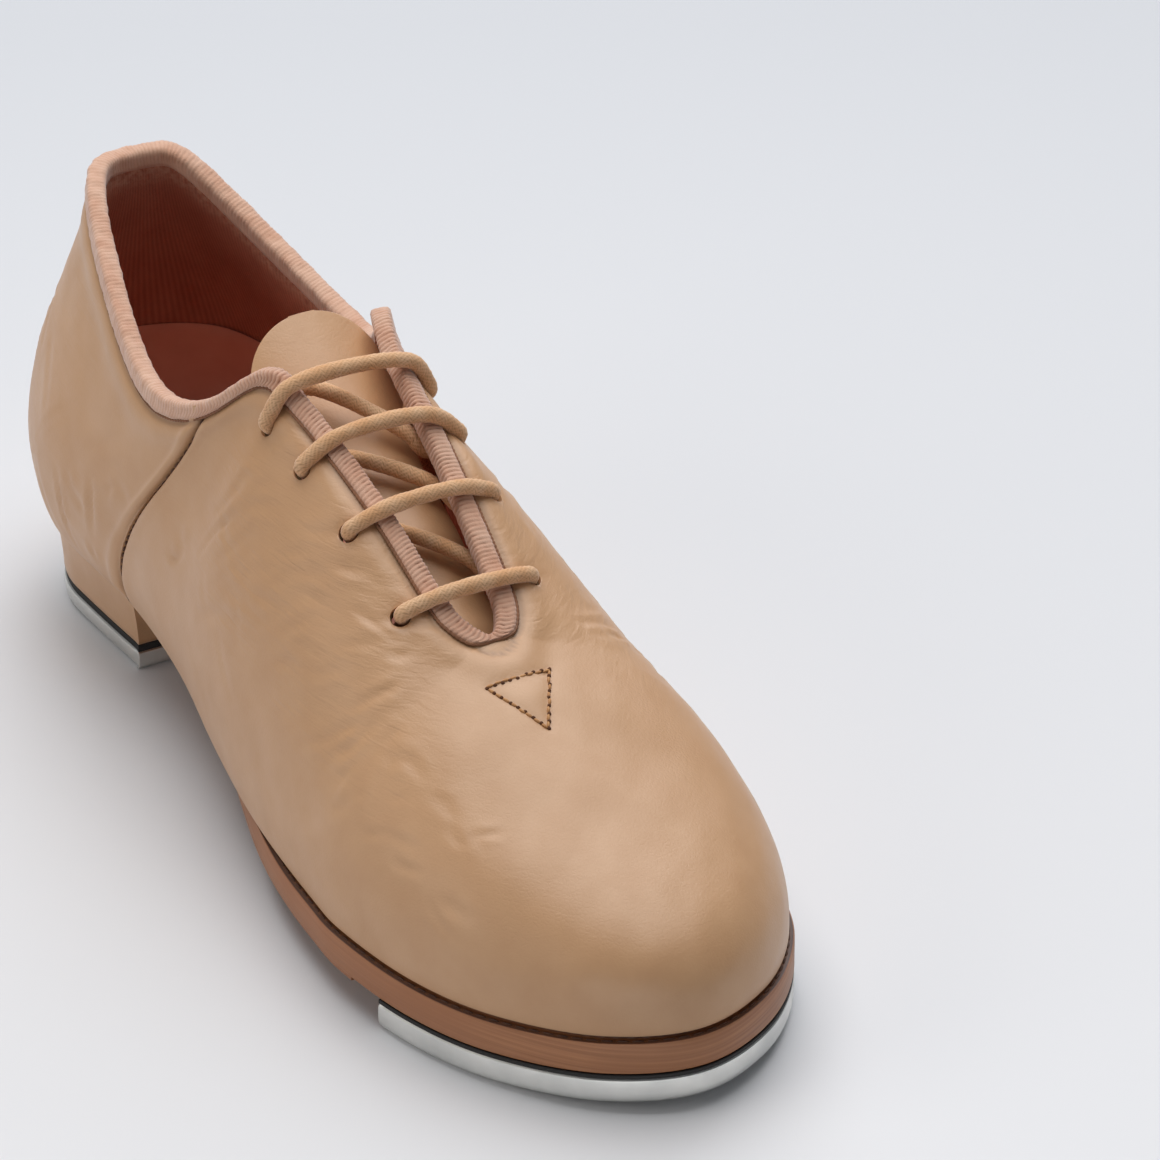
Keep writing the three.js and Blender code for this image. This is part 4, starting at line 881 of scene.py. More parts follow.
# ---- sizes and colours a user would change ------------------------------------------------
class TapShoeSizes(bpy.types.PropertyGroup):
    rib_pitch: bpy.props.FloatProperty(
        name="Rib pitch", description="Distance between the ribs of the topline binding",
        default=1.0 * MM, min=0.5 * MM, unit="LENGTH")
    seam_stitch: bpy.props.FloatProperty(
        name="Seam stitch", description="Distance between stitches down the side seams",
        default=2.3 * MM, min=1 * MM, unit="LENGTH")
    welt_stitch: bpy.props.FloatProperty(
        name="Welt stitch", description="Distance between stitches in the channel round the sole",
        default=3.0 * MM, min=1 * MM, unit="LENGTH")
    lace_diameter: bpy.props.FloatProperty(
        name="Lace diameter", description="Diameter of the round lace",
        default=3.4 * MM, min=1 * MM, unit="LENGTH")
    punch_diameter: bpy.props.FloatProperty(
        name="Eyelet diameter", description="Diameter of the punched lace holes",
        default=4.3 * MM, min=1 * MM, unit="LENGTH")
    crease_depth: bpy.props.FloatProperty(
        name="Crease depth", description="Depth of the flexing creases of the vamp",
        default=0.3 * MM, min=0.0, unit="LENGTH")


class TapShoeColours(bpy.types.PropertyGroup):
    leather: bpy.props.StringProperty(
        name="Leather", description="Main colour of the upper, as an sRGB hex value", default="#C79A70")
    leather_light: bpy.props.StringProperty(
        name="Leather, light", description="Lighter patches of the upper", default="#CCA077")
    leather_deep: bpy.props.StringProperty(
        name="Leather, deep", description="Deeper patches of the upper", default="#C2946A")
    floor: bpy.props.StringProperty(
        name="Floor", description="Colour of the studio floor", default="#EDEDEF")


FINISHES = {}


def sizes():
    return bpy.context.scene.tap_shoe_sizes


def finish_with(piece, finish, body=None, replaced=(), bend=None):
    """Material, slot, body and the CAD nodes that a piece stands for."""
    piece.data.materials.clear()
    piece.data.materials.append(FINISHES[finish])
    if bend is None:
        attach(piece, body)
    else:
        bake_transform(piece)
    if replaced:
        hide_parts(*replaced)
    return piece


def bend_zone(behind, ahead):
    """Start and end of a bend, as distances in mm behind and ahead of the toe joint."""
    x, y, z = FLEX["pos_m"]
    return (x - behind * MM, y, z), (x + ahead * MM, y, z)


UPPER_BEND = bend_zone(20, 30)
SOLE_BEND = bend_zone(15, 8)


# ---- leather: creases and pulls -----------------------------------------------------------
def crease_lines(seed, count, s_range, t_range, reach, slope, wander):
    """Short wandering lines on the surface, each an array of points."""
    rng = np.random.default_rng(seed)
    lines = []
    for _ in range(count):
        s0, t0 = rng.uniform(*s_range), rng.uniform(*t_range)
        ds = rng.uniform(*reach)
        dt = ds * rng.uniform(*slope)
        share = np.linspace(0, 1, 6)
        s = s0 + ds * share
        t = np.clip(t0 + dt * share + rng.uniform(-wander, wander) * np.sin(share * math.pi), 0.06, 0.93)
        lines.append((upper_point(s, t), rng.uniform(0.45, 1.0), rng.uniform(0.7, 1.35)))
    return lines


def crease_depths(points, lines):
    """Depth at each point: a groove along each line with soft lips, fading at its ends."""
    depth = np.zeros(len(points))
    for line, strength, width in lines:
        low, high = line.min(axis=0) - 6, line.max(axis=0) + 6
        near = np.where(((points > low) & (points < high)).all(axis=1))[0]
        if not len(near):
            continue
        here = points[near]
        distance = np.full(len(near), 99.0)
        along = np.zeros(len(near))
        for k in range(len(line) - 1):
            edge = line[k + 1] - line[k]
            f = np.clip(((here - line[k]) @ edge) / (edge @ edge), 0, 1)
            d = np.linalg.norm(here - line[k] - f[:, None] * edge, axis=1)
            closer = d < distance
            distance = np.where(closer, d, distance)
            along = np.where(closer, (k + f) / (len(line) - 1), along)
        fade = np.sin(np.clip(along, 0.02, 0.98) * math.pi) ** 0.7 * strength
        groove = -bump(distance, width) + 0.55 * bump(distance - 2.0 * width, 1.1 * width)
        depth[near] += groove * fade
    return depth


def vamp_creases():
    lines = crease_lines(3, 46, (5.6, 8.2), (0.34, 0.76), (0.15, 0.5), (0.1, 0.55), 0.02)
    lines += crease_lines(5, 18, (8.2, 10.4), (0.3, 0.62), (0.15, 0.45), (-0.2, 0.3), 0.015)
    lines += crease_lines(7, 14, (4.5, 6.4), (0.2, 0.6), (0.2, 0.5), (-0.3, 0.5), 0.03)
    lines += crease_lines(11, 40, (COUNT - 8.6, COUNT - 5.9), (0.34, 0.78), (0.12, 0.4), (-0.55, -0.1), 0.02)
    return lines


def quarter_creases():
    lines = crease_lines(21, 22, (0.8, 3.4), (0.2, 0.7), (0.1, 0.5), (-0.8, 0.8), 0.03)
    lines += crease_lines(23, 22, (-3.6, -0.8), (0.2, 0.7), (0.1, 0.5), (-0.8, 0.8), 0.03)
    return lines


def segment_distance(points, first, last):
    edge = last - first
    f = np.clip(((points - first) @ edge) / (edge @ edge), 0, 1)
    return np.linalg.norm(points - first - f[..., None] * edge, axis=-1)


TRIANGLE = [(179.0, -7.1), (179.2, 7.1), (191.7, -0.1)]


def triangle_corners():
    """Corners of the stitched triangle, laid on the vamp in front of the throat."""
    return [surface_under(x, y) for x, y in TRIANGLE]


def surface_under(x, y):
    """Point of the upper, and its normal, under a place seen from above."""
    outer = y < ridge_at(np.array((x - RIDGE[0, 0]) / (RIDGE[1, 0] - RIDGE[0, 0])))[1]
    s_line = np.linspace(THROAT_END, THROAT_END + 2.2, 90)
    s = s_line if outer else COUNT - s_line
    t = np.linspace(0.55, 1, 120)
    grid = upper_point(s[:, None], t[None, :])
    distance = (grid[..., 0] - x) ** 2 + (grid[..., 1] - y) ** 2
    i, j = np.unravel_index(np.argmin(distance), distance.shape)
    return grid[i, j], upper_normal(s[i], t[j])


def leather_relief(s, t, distance, points, creases, vamp):
    """How far the leather stands off the last, and where painted shade darkens its colour."""
    from_end = np.linalg.norm(points - ridge_at(np.array(0.0)), axis=-1)
    distance = np.where(on_ridge(s), from_end, distance)
    height = -0.35 * bump(distance - 4.2, 0.8) + 0.55 * bump(distance - 7.5, 2.8)
    # painted shade in the groove where the binding ends
    shade = 0.7 * bump(distance - 4.3, 0.55)
    # the side seams: the quarter rolls up behind the crack, the vamp lies lower in front of it, and painted
    # shade darkens the crack
    for station in (SEAM, COUNT - SEAM):
        seam = upper_point(np.full(t.shape, station, float), t)
        d = np.linalg.norm(points - seam[None], axis=-1)
        near = np.abs(np.mod(s, COUNT) - station) < 1.2
        roll = 0.2 * bump(d - 3, 2) if vamp else 0.75 * bump(d - 3, 2.2)
        height = height + np.where(near, roll - 0.95 * bump(d, 0.75), 0)
        shade = shade + np.where(near, 0.95 * bump(d, 0.6), 0)
    flat = points.reshape(-1, 3)
    height = height + sizes().crease_depth / MM * crease_depths(flat, creases).reshape(height.shape)
    height = height + 0.16 * ripple(points, 26, 5) + 0.05 * ripple(points, 9, 8)
    return height, shade


# ---- the pieces ---------------------------------------------------------------------------
class TapShoeOperator:
    bl_options = {"REGISTER", "UNDO"}


def upper_sheet(name, s, creases, vamp):
    """A leather part of the upper with its lasting margin turned in under the insole."""
    t, distance = wall_rows(s, 24, 0.8, 50)
    points = upper_point(s[:, None], t)
    normals = upper_normal(s[:, None], t)
    stations = np.broadcast_to(s[:, None], t.shape)
    height, shade = leather_relief(stations, t[0], distance, points, creases, vamp)
    height = height * smooth(0, 4, np.linalg.norm(points - points[:, :1], axis=-1))
    if vamp:
        corners = triangle_corners()
        pull = np.full(t.shape, 99.0)
        for (a, _), (b, _) in zip(corners, corners[1:] + corners[:1]):
            pull = np.minimum(pull, segment_distance(points, a, b))
        middle = sum(corner for corner, _ in corners) / 3
        height = height - 0.3 * bump(pull, 0.7) + 0.3 * bump(np.linalg.norm(points - middle, axis=-1), 3.2)
        for eye in OUTER_EYELETS + INNER_EYELETS:
            d = np.linalg.norm(points - eyelet(eye, 0.0), axis=-1)
            height = height - 0.45 * bump(d, 3.4)
            # painted shade in each eyelet dimple
            shade = shade + 0.5 * bump(d, 2.6)
    outer = points + normals * height[..., None]
    inner = points - normals * LEATHER
    folds = [(-LASTING_MARGIN, 0.0), (-6.0, 0.0), (-3.0, 0.0), (-1.2, 0.0), (-0.4, 0.1)]
    fold_outer = np.stack([feather(s, np.full(s.shape, o), GAP + z) for o, z in folds], axis=1)
    fold_inner = np.stack([feather(s, np.full(s.shape, min(o, -LEATHER - 0.2)), GAP + LEATHER)
                           for o, z in folds], axis=1)
    outer = np.concatenate([fold_outer, outer], axis=1)
    inner = np.concatenate([fold_inner, inner], axis=1)
    extra = np.zeros((len(s), len(folds)))
    run = run_along(upper_point(s, 0.6))
    up = np.concatenate([extra, distance.max(axis=1, keepdims=True) - distance], axis=1)
    uv = np.stack(np.broadcast_arrays(run[:, None], up), axis=-1)
    x = outer[..., 0]
    flank = smooth(0.2, 0.45, np.concatenate([extra, t], axis=1))
    flex = (0.25 + 0.75 * smooth(88, 110, x) * (1 - smooth(165, 200, x))) * flank
    flex = np.maximum(flex, 0.5 * (1 - smooth(30, 75, x)) * flank)
    from_back = COUNT / 2 - np.abs(COUNT / 2 - np.mod(s, COUNT))
    ahead = (smooth(0.72, 0.9, np.concatenate([extra, t], axis=1))
             * smooth(THROAT_END - 0.5, THROAT_END, from_back)[:, None])
    flex = flex * (1 - 0.85 * ahead)
    both_ridge = on_ridge(s[:-1]) & on_ridge(s[1:])
    return sheet_object(name, outer, inner, uv, skip_top=both_ridge,
                        shade=np.clip(np.concatenate([extra, shade], axis=1), 0, 1), flex=flex)


class TAPSHOE_OT_upper(TapShoeOperator, bpy.types.Operator):
    """Vamp and heel quarter: lasted leather with creases, rolled seams and punched eyelets"""
    bl_idname = "tapshoe.upper"
    bl_label = "Upper"

    def execute(self, context):
        vamp = upper_sheet("upper_vamp", station_rows(SEAM, COUNT - SEAM, 22, SEAM_STEPS),
                           vamp_creases(), True)
        carve(vamp, [punch("eyelet_punch", sizes().punch_diameter / MM / 2)])
        finish_with(vamp, "leather", replaced=["vamp"], bend=UPPER_BEND)
        quarter = upper_sheet("upper_quarter", station_rows(-SEAM, SEAM, 22, SEAM_STEPS),
                              quarter_creases(), False)
        finish_with(quarter, "leather", "shoe", ["heel_quarter"])
        return {"FINISHED"}


def lining_part(name, start, end):
    s = station_rows(start, end, 10)
    t, distance = wall_rows(s, 10, 1.6, 24)
    ripples = 0.12 * ripple(upper_point(s[:, None], t), 18, 31)
    outer = offset_point(s[:, None], t, wall_at(distance) - LINING)
    inner = offset_point(s[:, None], t, wall_at(distance) + ripples * smooth(3, 8, distance))
    run = run_along(upper_point(s, 0.7))
    uv = np.stack(np.broadcast_arrays(run[:, None], distance), axis=-1)
    both_ridge = on_ridge(s[:-1]) & on_ridge(s[1:])
    return sheet_object(name, outer, inner, uv, skip_top=both_ridge, fluff=1 - smooth(3.5, 9, distance))


class TAPSHOE_OT_lining(TapShoeOperator, bpy.types.Operator):
    """Cloth lining of the vamp and the quarter, with the smooth leather cup round the heel"""
    bl_idname = "tapshoe.lining"
    bl_label = "Lining"

    def execute(self, context):
        front = lining_part("lining_front", SEAM, COUNT - SEAM)
        carve(front, [punch("lining_punch", sizes().punch_diameter / MM / 2)])
        finish_with(front, "lining", replaced=["vamp_lining"], bend=UPPER_BEND)
        back = lining_part("lining_back", -SEAM, SEAM)
        finish_with(back, "lining", "shoe", ["quarter_lining"])
        return {"FINISHED"}


class TAPSHOE_OT_heel_cup(TapShoeOperator, bpy.types.Operator):
    """Smooth leather cup that lines the lower half of the heel inside the shoe"""
    bl_idname = "tapshoe.heel_cup"
    bl_label = "Heel cup"

    cup_height = 27.0             # over the feather edge at the back, mm
    cup_thickness = 0.6

    def execute(self, context):
        s = np.linspace(-SEAM + 0.05, SEAM - 0.05, 90)
        share = np.linspace(0, 1, 22)
        top = self.cup_height - 3.0 * smooth(1.0, 4.0, np.abs(s))
        t_fine = np.linspace(0, 1, 200)
        heights = upper_point(s[:, None], t_fine)[..., 2] - feather(s)[:, 2:3]
        t = np.array([np.interp(5.0 + (want - 5.0) * share, row, t_fine) for want, row in zip(top, heights)])
        near = WALL + 0.25
        outer = offset_point(s[:, None], t, np.full(t.shape, near))
        rim = self.cup_thickness * (1 - 0.8 * smooth(0.9, 1.0, share))[None, :] + 0 * t
        inner = offset_point(s[:, None], t, near + rim)
        run = s * 22
        uv = np.stack(np.broadcast_arrays(run[:, None], t * 60), axis=-1)
        piece = sheet_object("heel_cup", outer, inner, uv)
        finish_with(piece, "sock", "shoe")
        return {"FINISHED"}


def binding_rings(s, depth):
    """Frames round the topline: edge point, outward normal, upward direction, foot of the tape."""
    edge = top_at(s)
    along = unit(top_at(s + 0.06) - top_at(s - 0.06))
    normal = upper_normal(s, np.ones(s.shape))
    up = unit(np.cross(normal, along))
    t = below_edge(s, [depth])[0][:, 0]
    foot, foot_normal = upper_point(s, t), upper_normal(s, t)
    reach = depth / np.linalg.norm(ridge_at(np.array(1.0)) - ridge_at(np.array(0.0)))
    on_toe = on_ridge(s)
    toe_foot = ridge_at(np.array(reach))
    slope = ridge_slope(toe_foot[0])
    toe_normal = unit(np.array([-slope, 0, 1.0]))
    foot = np.where(on_toe[:, None], toe_foot, foot)
    foot_normal = np.where(on_toe[:, None], toe_normal, foot_normal)
    return edge, normal, up, foot, foot_normal


def rounded_rings(s, depth):
    """Binding frames, averaged with their neighbours where the throat turns sharply."""
    rings = binding_rings(s, depth)
    foot = rings[3]
    turn = bump(np.linalg.norm(foot - foot[0], axis=1), 7.0)[:, None]
    out = []
    for values in rings:
        soft = values
        for _ in range(60):
            soft = (np.roll(soft, 1, axis=0) + soft * 2 + np.roll(soft, -1, axis=0)) / 4
        out.append(values * (1 - turn) + soft * turn)
    return out


def topline_stations(spacing):
    """Station numbers at an even spacing along the whole topline."""
    s = np.linspace(-THROAT_END, THROAT_END, 3000)
    length = run_along(top_at(s))
    count = int(round(length[-1] / spacing))
    marks = np.arange(count) * length[-1] / count
    return np.interp(marks, length, s), marks


class TAPSHOE_OT_binding(TapShoeOperator, bpy.types.Operator):
    """Ribbed tape rolled over the topline and the throat, with its overlocked edge thread"""
    bl_idname = "tapshoe.binding"
    bl_label = "Topline binding"

    tape_depth = 3.4
    rib_rows = 5
    rib_height = 0.42

    def execute(self, context):
        pitch = sizes().rib_pitch / MM
        s, marks = topline_stations(pitch / self.rib_rows)
        edge, normal, up, foot, foot_normal = rounded_rings(s, self.tape_depth)
        near, far = 0.25, 0.8
        edge_wall, foot_wall = wall_at(0), wall_at(self.tape_depth)
        profile = [foot + foot_normal * 0.35, foot + foot_normal * (far * 0.85)]
        for out, rise in ((far, -1.2), (far, 0.1), (far * 0.55, far * 0.8), (-edge_wall / 2, far * 1.12),
                          (-edge_wall - far * 0.55, far * 0.8), (-edge_wall - far, 0.1),
                          (-edge_wall - far * 1.1, -1.2)):
            profile.append(edge + normal * out + up * rise)
        profile += [foot - foot_normal * (foot_wall + far * 0.85), foot - foot_normal * (foot_wall + 0.3)]
        outer = np.stack(profile, axis=1)
        rings = np.stack([resample_count(catmull_rom(ring, 4), 17) for ring in outer])
        track = np.stack([marks, 0 * marks, 0 * marks], axis=1)
        phase = marks / pitch + 0.35 * ripple(track, 23, 4) + 0.12 * ripple(track, 5, 6)
        columns = rings.shape[1]
        lean = np.linspace(-0.5, 0.5, columns)[None, :] * 1.1
        f = np.mod(phase[:, None] + lean, 1.0)
        rib = np.sqrt(np.maximum(0, 1 - (2 * f - 1) ** 2))
        wide = np.sin(np.linspace(0.12, 1, columns) * math.pi)[None, :] ** 0.5
        worn = 1 - 0.55 * smooth(110, 80, rings[..., 0])
        strength = (0.85 + 0.25 * ripple(rings, 12, 9)) * worn
        swell = 0.10 * ripple(rings, 3.2, 13)[..., None]
        centre = (edge - normal * edge_wall / 2 - up * 0.6)[:, None]
        push = unit(rings - centre) * ((rib - 1) * self.rib_height * wide * strength)[..., None]
        rings = rings + push + unit(rings - centre) * swell * wide[..., None]
        back = np.stack([foot - foot_normal * (foot_wall + near),
                         edge - normal * (edge_wall + near) + up * near,
                         edge - normal * edge_wall / 2 + up * near, edge + normal * near + up * near,
                         foot + foot_normal * near], axis=1)
        section = np.concatenate([rings, back], axis=1)
        rows, count = section.shape[:2]
        # painted shade between the ribs, weaker where the ribs are worn flatter
        groove = np.concatenate([np.clip(1.15 - rib, 0, 1) * wide * strength, np.zeros((rows, 5))], axis=1)
        uv = np.stack(np.broadcast_arrays(marks[:, None], np.arange(count)[None, :] * 0.8), axis=-1)
        faces = quads(rows, count, close_rows=True, close_columns=True)
        piece = mesh_object("binding_tape", section.reshape(-1, 3), faces, uv.reshape(-1, 2),
                            groove=groove.ravel())
        tidy_mesh(piece, merge=1e-6, angle=60)
        finish_with(piece, "binding", replaced=["topline_binding"], bend=UPPER_BEND)
        self.edge_thread(pitch)
        return {"FINISHED"}

    def edge_thread(self, pitch):
        """A fine thread that loops over the outer edge of the tape, one loop to each rib."""
        s, marks = topline_stations(pitch / self.rib_rows)
        _, _, _, foot, foot_normal = rounded_rings(s, self.tape_depth + 0.25)
        path = foot + foot_normal * 0.12
        beads = 0.24 + 0.14 * np.abs(np.sin(marks / pitch * math.pi))
        path = np.concatenate([path, path[:1]])
        radii = np.repeat(np.append(beads, beads[0])[:, None], 6, axis=1)
        thread = tube_object("binding_edge_thread", path, radii, 6)
        finish_with(thread, "edge_thread", bend=UPPER_BEND)


# ---- tongue -------------------------------------------------------------------------------
LACE_RADIUS = 1.6
BINDING = 0.6
LACE_OVER = LACE_RADIUS + 0.95
LACE_RISE = 1.3                   # over the leather beside an eyelet
LACE_UNDER = WALL + BINDING + LACE_RADIUS + 2.2 * GAP
TONGUE_DEPTH = LACE_UNDER + LACE_RADIUS + 1.1


def middle_of(s):
    return (top_at(np.array(s, float)) + top_at(np.array(COUNT - s, float))) / 2


def tongue_line():
    root = ridge_at(np.array(0.3))
    root_normal = unit(np.array([-ridge_slope(root[0]), 0, 1.0]))
    points = [root - root_normal * (WALL + GAP)]
    for s in (7.7, 7.2, 6.6, 6.0):
        along = (middle_of(s - 0.1) - middle_of(s + 0.1)) * [1, 0, 1]
        along = unit(along)
        normal = np.array([-along[2], 0, along[0]]) * (-1 if along[0] < 0 else 1)
        points.append(middle_of(s) - normal * TONGUE_DEPTH)
    corner = middle_of(FACING_TOP)
    points.append(np.array([corner[0] - 12.0, 0, corner[2] + 1.0]))
    return np.array([[p[0], -0.8, p[2]] for p in points])


TONGUE_ROOT_HALF, TONGUE_WAIST_HALF, TONGUE_TOP_HALF = 8, 9, 17.3
TONGUE_ARCH = 24.0                # radius of its arch over the instep


def tongue_part(name, depth, thickness):
    """One layer of the tongue: an arched strip, wide and round at its top."""
    marks = np.linspace(0, 1, 400)
    line = resample_count(catmull_rom(tongue_line(), 24), len(marks))
    round_share = np.sin(np.linspace(0, math.pi / 2, 40))[1:]
    share = np.concatenate([np.linspace(0, 0.8, 50), 0.8 + 0.2 * round_share])
    centre = points_at(line, marks, share)
    step = 0.004
    along = unit((points_at(line, marks, share + step) - points_at(line, marks, share - step)) * [1, 0, 1])
    normal = np.stack([-along[:, 2], 0 * along[:, 0], along[:, 0]], axis=1)
    normal = normal * np.where(along[:, 0] < 0, -1, 1)[:, None]
    round_top = np.maximum(0.02, 1 - np.maximum(0, (share - 0.8) / 0.2) ** 2.3) ** 0.45
    waist = TONGUE_ROOT_HALF + (TONGUE_WAIST_HALF - TONGUE_ROOT_HALF) * smooth(0, 0.4, share)
    half = (waist + (TONGUE_TOP_HALF - waist) * smooth(0.55, 0.85, share)) * round_top
    across = np.sin(np.linspace(-1, 1, 33) * math.pi / 2)
    angle = across[None, :] * half[:, None] / TONGUE_ARCH
    rim = 0.35 * bump(np.abs(across)[None, :] - 1, 0.03) * half[:, None] / half.max()

    def layer(under):
        radius = TONGUE_ARCH - under
        return (centre[:, None] + normal[:, None] * (-TONGUE_ARCH + radius * np.cos(angle))[..., None]
                + np.array([0, 1.0, 0]) * (radius * np.sin(angle))[..., None])

    top = layer(depth) - normal[:, None] * (rim * 0.5)[..., None]
    bottom = layer(depth + thickness) + normal[:, None] * (rim * 0.5)[..., None]
    top = top + normal[:, None] * (0.12 * ripple(top, 22, 14))[..., None]
    run = share * 90
    uv = np.stack(np.broadcast_arrays(run[:, None], across[None, :] * 16), axis=-1)
    zero = np.zeros(angle.shape)
    return sheet_object(name, top, bottom, uv, shade=zero, flex=zero + 0.3)


class TAPSHOE_OT_tongue(TapShoeOperator, bpy.types.Operator):
    """Tongue: a leather layer and its cloth lining, arched over the instep"""
    bl_idname = "tapshoe.tongue"
    bl_label = "Tongue"

    def execute(self, context):
        leather = tongue_part("tongue_leather", 0.0, LEATHER)
        modifier = leather.modifiers.new("soft_edge", "BEVEL")
        modifier.width = 0.4 * MM
        modifier.segments = 2
        modifier.angle_limit = math.radians(50)
        activate(leather)
        bpy.ops.object.modifier_apply(modifier=modifier.name)
        finish_with(leather, "leather", "tongue", ["tongue"])
        cloth = tongue_part("tongue_cloth", LEATHER + GAP, LINING)
        finish_with(cloth, "lining", "tongue", ["tongue_lining"])
        return {"FINISHED"}


# ---- lace ---------------------------------------------------------------------------------
def edge_station_under(first, last, outer):
    """Station of the throat's edge that a straight lace passes over or under."""
    s = np.arange(FACING_TOP + 0.2, THROAT_END - 0.1, 0.025)
    side = s if outer else COUNT - s
    edge = top_at(side) * [1, 1, 0]
    distance = segment_distance(edge, first * [1, 1, 0], last * [1, 1, 0])
    return float(side[np.argmin(distance)])


def towards(point, target, distance):
    return point + unit(target - point) * distance


def lace_bar(first, last, first_outer, offset):
    """Four points of the lace between two eyelets, over (or under) both edges of the throat."""
    bars = []
    for outer in (first_outer, not first_outer):
        s = np.array(edge_station_under(first, last, outer))
        bars.append(top_at(s) + upper_normal(s, 1.0) * offset)
    return [towards(first, bars[0], 2.6), bars[0], bars[1], towards(last, bars[1], 2.6)]


def lace_route():
    """The lace crosses over from the inner to the outer side, and back under the facings."""
    def tail(s, distance, depth):
        t = below_edge(s, [distance])[0][:, 0]
        return offset_point(np.atleast_1d(s), t, np.array([depth]))[0]

    def hole(s, depth):
        return eyelet(s, np.array([depth]))

    points = [tail(INNER_EYELETS[0], EYELET_INSET + 22, LACE_UNDER + 2),
              tail(INNER_EYELETS[0], EYELET_INSET + 10, LACE_UNDER + 0.3)]
    for k, (inner, outer) in enumerate(zip(INNER_EYELETS, OUTER_EYELETS)):
        points += [hole(inner, WALL + 0.6), hole(inner, -0.4)]
        points += lace_bar(hole(inner, -LACE_RISE), hole(outer, -LACE_RISE), False, LACE_OVER)
        points += [hole(outer, -0.4), hole(outer, WALL + 0.6)]
        if k < len(OUTER_EYELETS) - 1:
            points += lace_bar(hole(outer, LACE_UNDER + 0.6), hole(INNER_EYELETS[k + 1], LACE_UNDER + 0.6),
                               True, -LACE_UNDER)
    points += [tail(OUTER_EYELETS[-1], EYELET_INSET + 10, LACE_UNDER + 0.3),
               tail(OUTER_EYELETS[-1], EYELET_INSET + 22, LACE_UNDER + 2)]
    return np.array(points)


class TAPSHOE_OT_lace(TapShoeOperator, bpy.types.Operator):
    """Round braided lace threaded through the eight eyelets, with its two tips"""
    bl_idname = "tapshoe.lace"
    bl_label = "Lace"

    strands = 10
    strand_pitch = 1.15           # mm along the lace between crossings
    strand_height = 0.22
    sides = 30
    # distance past the end of the cord, and radius there, mm
    tip_profile = ((0.3, 1.3), (0.8, 1.4), (4, 1.4), (8, 1.4), (11.4, 1.4), (12.0, 1.2), (12.3, 0.8))

    def execute(self, context):
        route = lace_route()
        path, marks = resample(catmull_rom(route, 12), 0.26)
        angle = np.linspace(0, 2 * math.pi, self.sides, endpoint=False)
        turn = self.strands * angle[None, :] / (2 * math.pi)
        run = marks[:, None] / self.strand_pitch
        p, q = turn + run, turn - run
        over = np.mod(np.floor(p) + np.floor(q), 2) < 0.5
        strand = np.where(over, np.sin(np.mod(p, 1) * math.pi), np.sin(np.mod(q, 1) * math.pi))
        radius = sizes().lace_diameter / MM / 2
        radii = radius - self.strand_height + self.strand_height * strand
        radii = radii * (1 + 0.03 * ripple(path, 7, 12) + 0.02 * ripple(path, 1.3, 17))[:, None]
        # painted shadow between the strands, strongest where a strand dips
        piece = tube_object("braided_lace", path, radii, self.sides, weave=(1 - strand).ravel())
        finish_with(piece, "cord", "shoe", ["lace"])
        for k, (end, before) in enumerate(((route[0], route[1]), (route[-1], route[-2]))):
            along = unit(end - before)
            tip = np.array([end + along * distance for distance, _ in self.tip_profile])
            size = np.array([[radius] * 24 for _, radius in self.tip_profile])
            film = tube_object(f"lace_tip_film_{k + 1}", tip, size, 24)
            finish_with(film, "film", "shoe", [f"lace_tip_{k + 1}"])
        return {"FINISHED"}


# ---- stitching ----------------------------------------------------------------------------
class TAPSHOE_OT_stitches(TapShoeOperator, bpy.types.Operator):
    """Seam stitches down both sides and the stitched triangle on the vamp"""
    bl_idname = "tapshoe.stitches"
    bl_label = "Stitches"

    def execute(self, context):
        self.side_seams(sizes().seam_stitch / MM)
        self.triangle(8)
        return {"FINISHED"}

    def side_seams(self, pitch):
        centres, along, normals = [], [], []
        for station in (SEAM, COUNT - SEAM):
            t = np.linspace(0.03, 0.955, 600)
            line = upper_point(np.full(t.shape, station, float), t)
            length = run_along(line)
            marks = np.arange(pitch, length[-1] - pitch, pitch)
            t_marks = np.interp(marks, length, t)
            s = np.full(marks.shape, station, float)
            normal = upper_normal(s, t_marks)
            centres.append(upper_point(s, t_marks) - normal * 0.62)
            along.append(upper_point(s, t_marks + 0.01) - upper_point(s, t_marks - 0.01))
            normals.append(normal)
        piece = stitches_object("side_seam_stitches", np.concatenate(centres), np.concatenate(along),
                                np.concatenate(normals), pitch * 0.72, 0.3)
        finish_with(piece, "seam_thread", "shoe")

    def triangle(self, count):
        corners = triangle_corners()
        threads, holes = ([], [], []), ([], [], [])
        for (a, _), (b, _) in zip(corners, corners[1:] + corners[:1]):
            for f in np.arange(count) / count:
                place, normal = surface_under(*(a + (b - a) * f)[:2])
                middle, _ = surface_under(*(a + (b - a) * (f + 0.5 / count))[:2])
                for group, centre, lift in ((holes, place, -0.2), (threads, middle, -0.12)):
                    group[0].append(centre + normal * lift)
                    group[1].append(b - a)
                    group[2].append(normal)
        step = np.linalg.norm(corners[1][0] - corners[0][0]) / count
        thread = stitches_object("triangle_thread", *map(np.array, threads), step * 0.95, 0.33)
        finish_with(thread, "vamp_thread", bend=UPPER_BEND)
        # painted shade in each needle hole of the triangle
        hole = stitches_object("triangle_holes", *map(np.array, holes), 0.95, 0.42)
        finish_with(hole, "needle_hole_shade", bend=UPPER_BEND)


# ---- sole ---------------------------------------------------------------------------------
def sole_edge(x):
    """The sole stands out past the upper at the ball and draws in under it at the waist."""
    return -4 + (SOLE_MARGIN + 4) * smooth(96, 165, x)


def sole_bottom(x):
    thickness = WAIST_THICKNESS + (SOLE_THICKNESS - WAIST_THICKNESS) * smooth(60, 140, x)
    return feather_height(x) - thickness


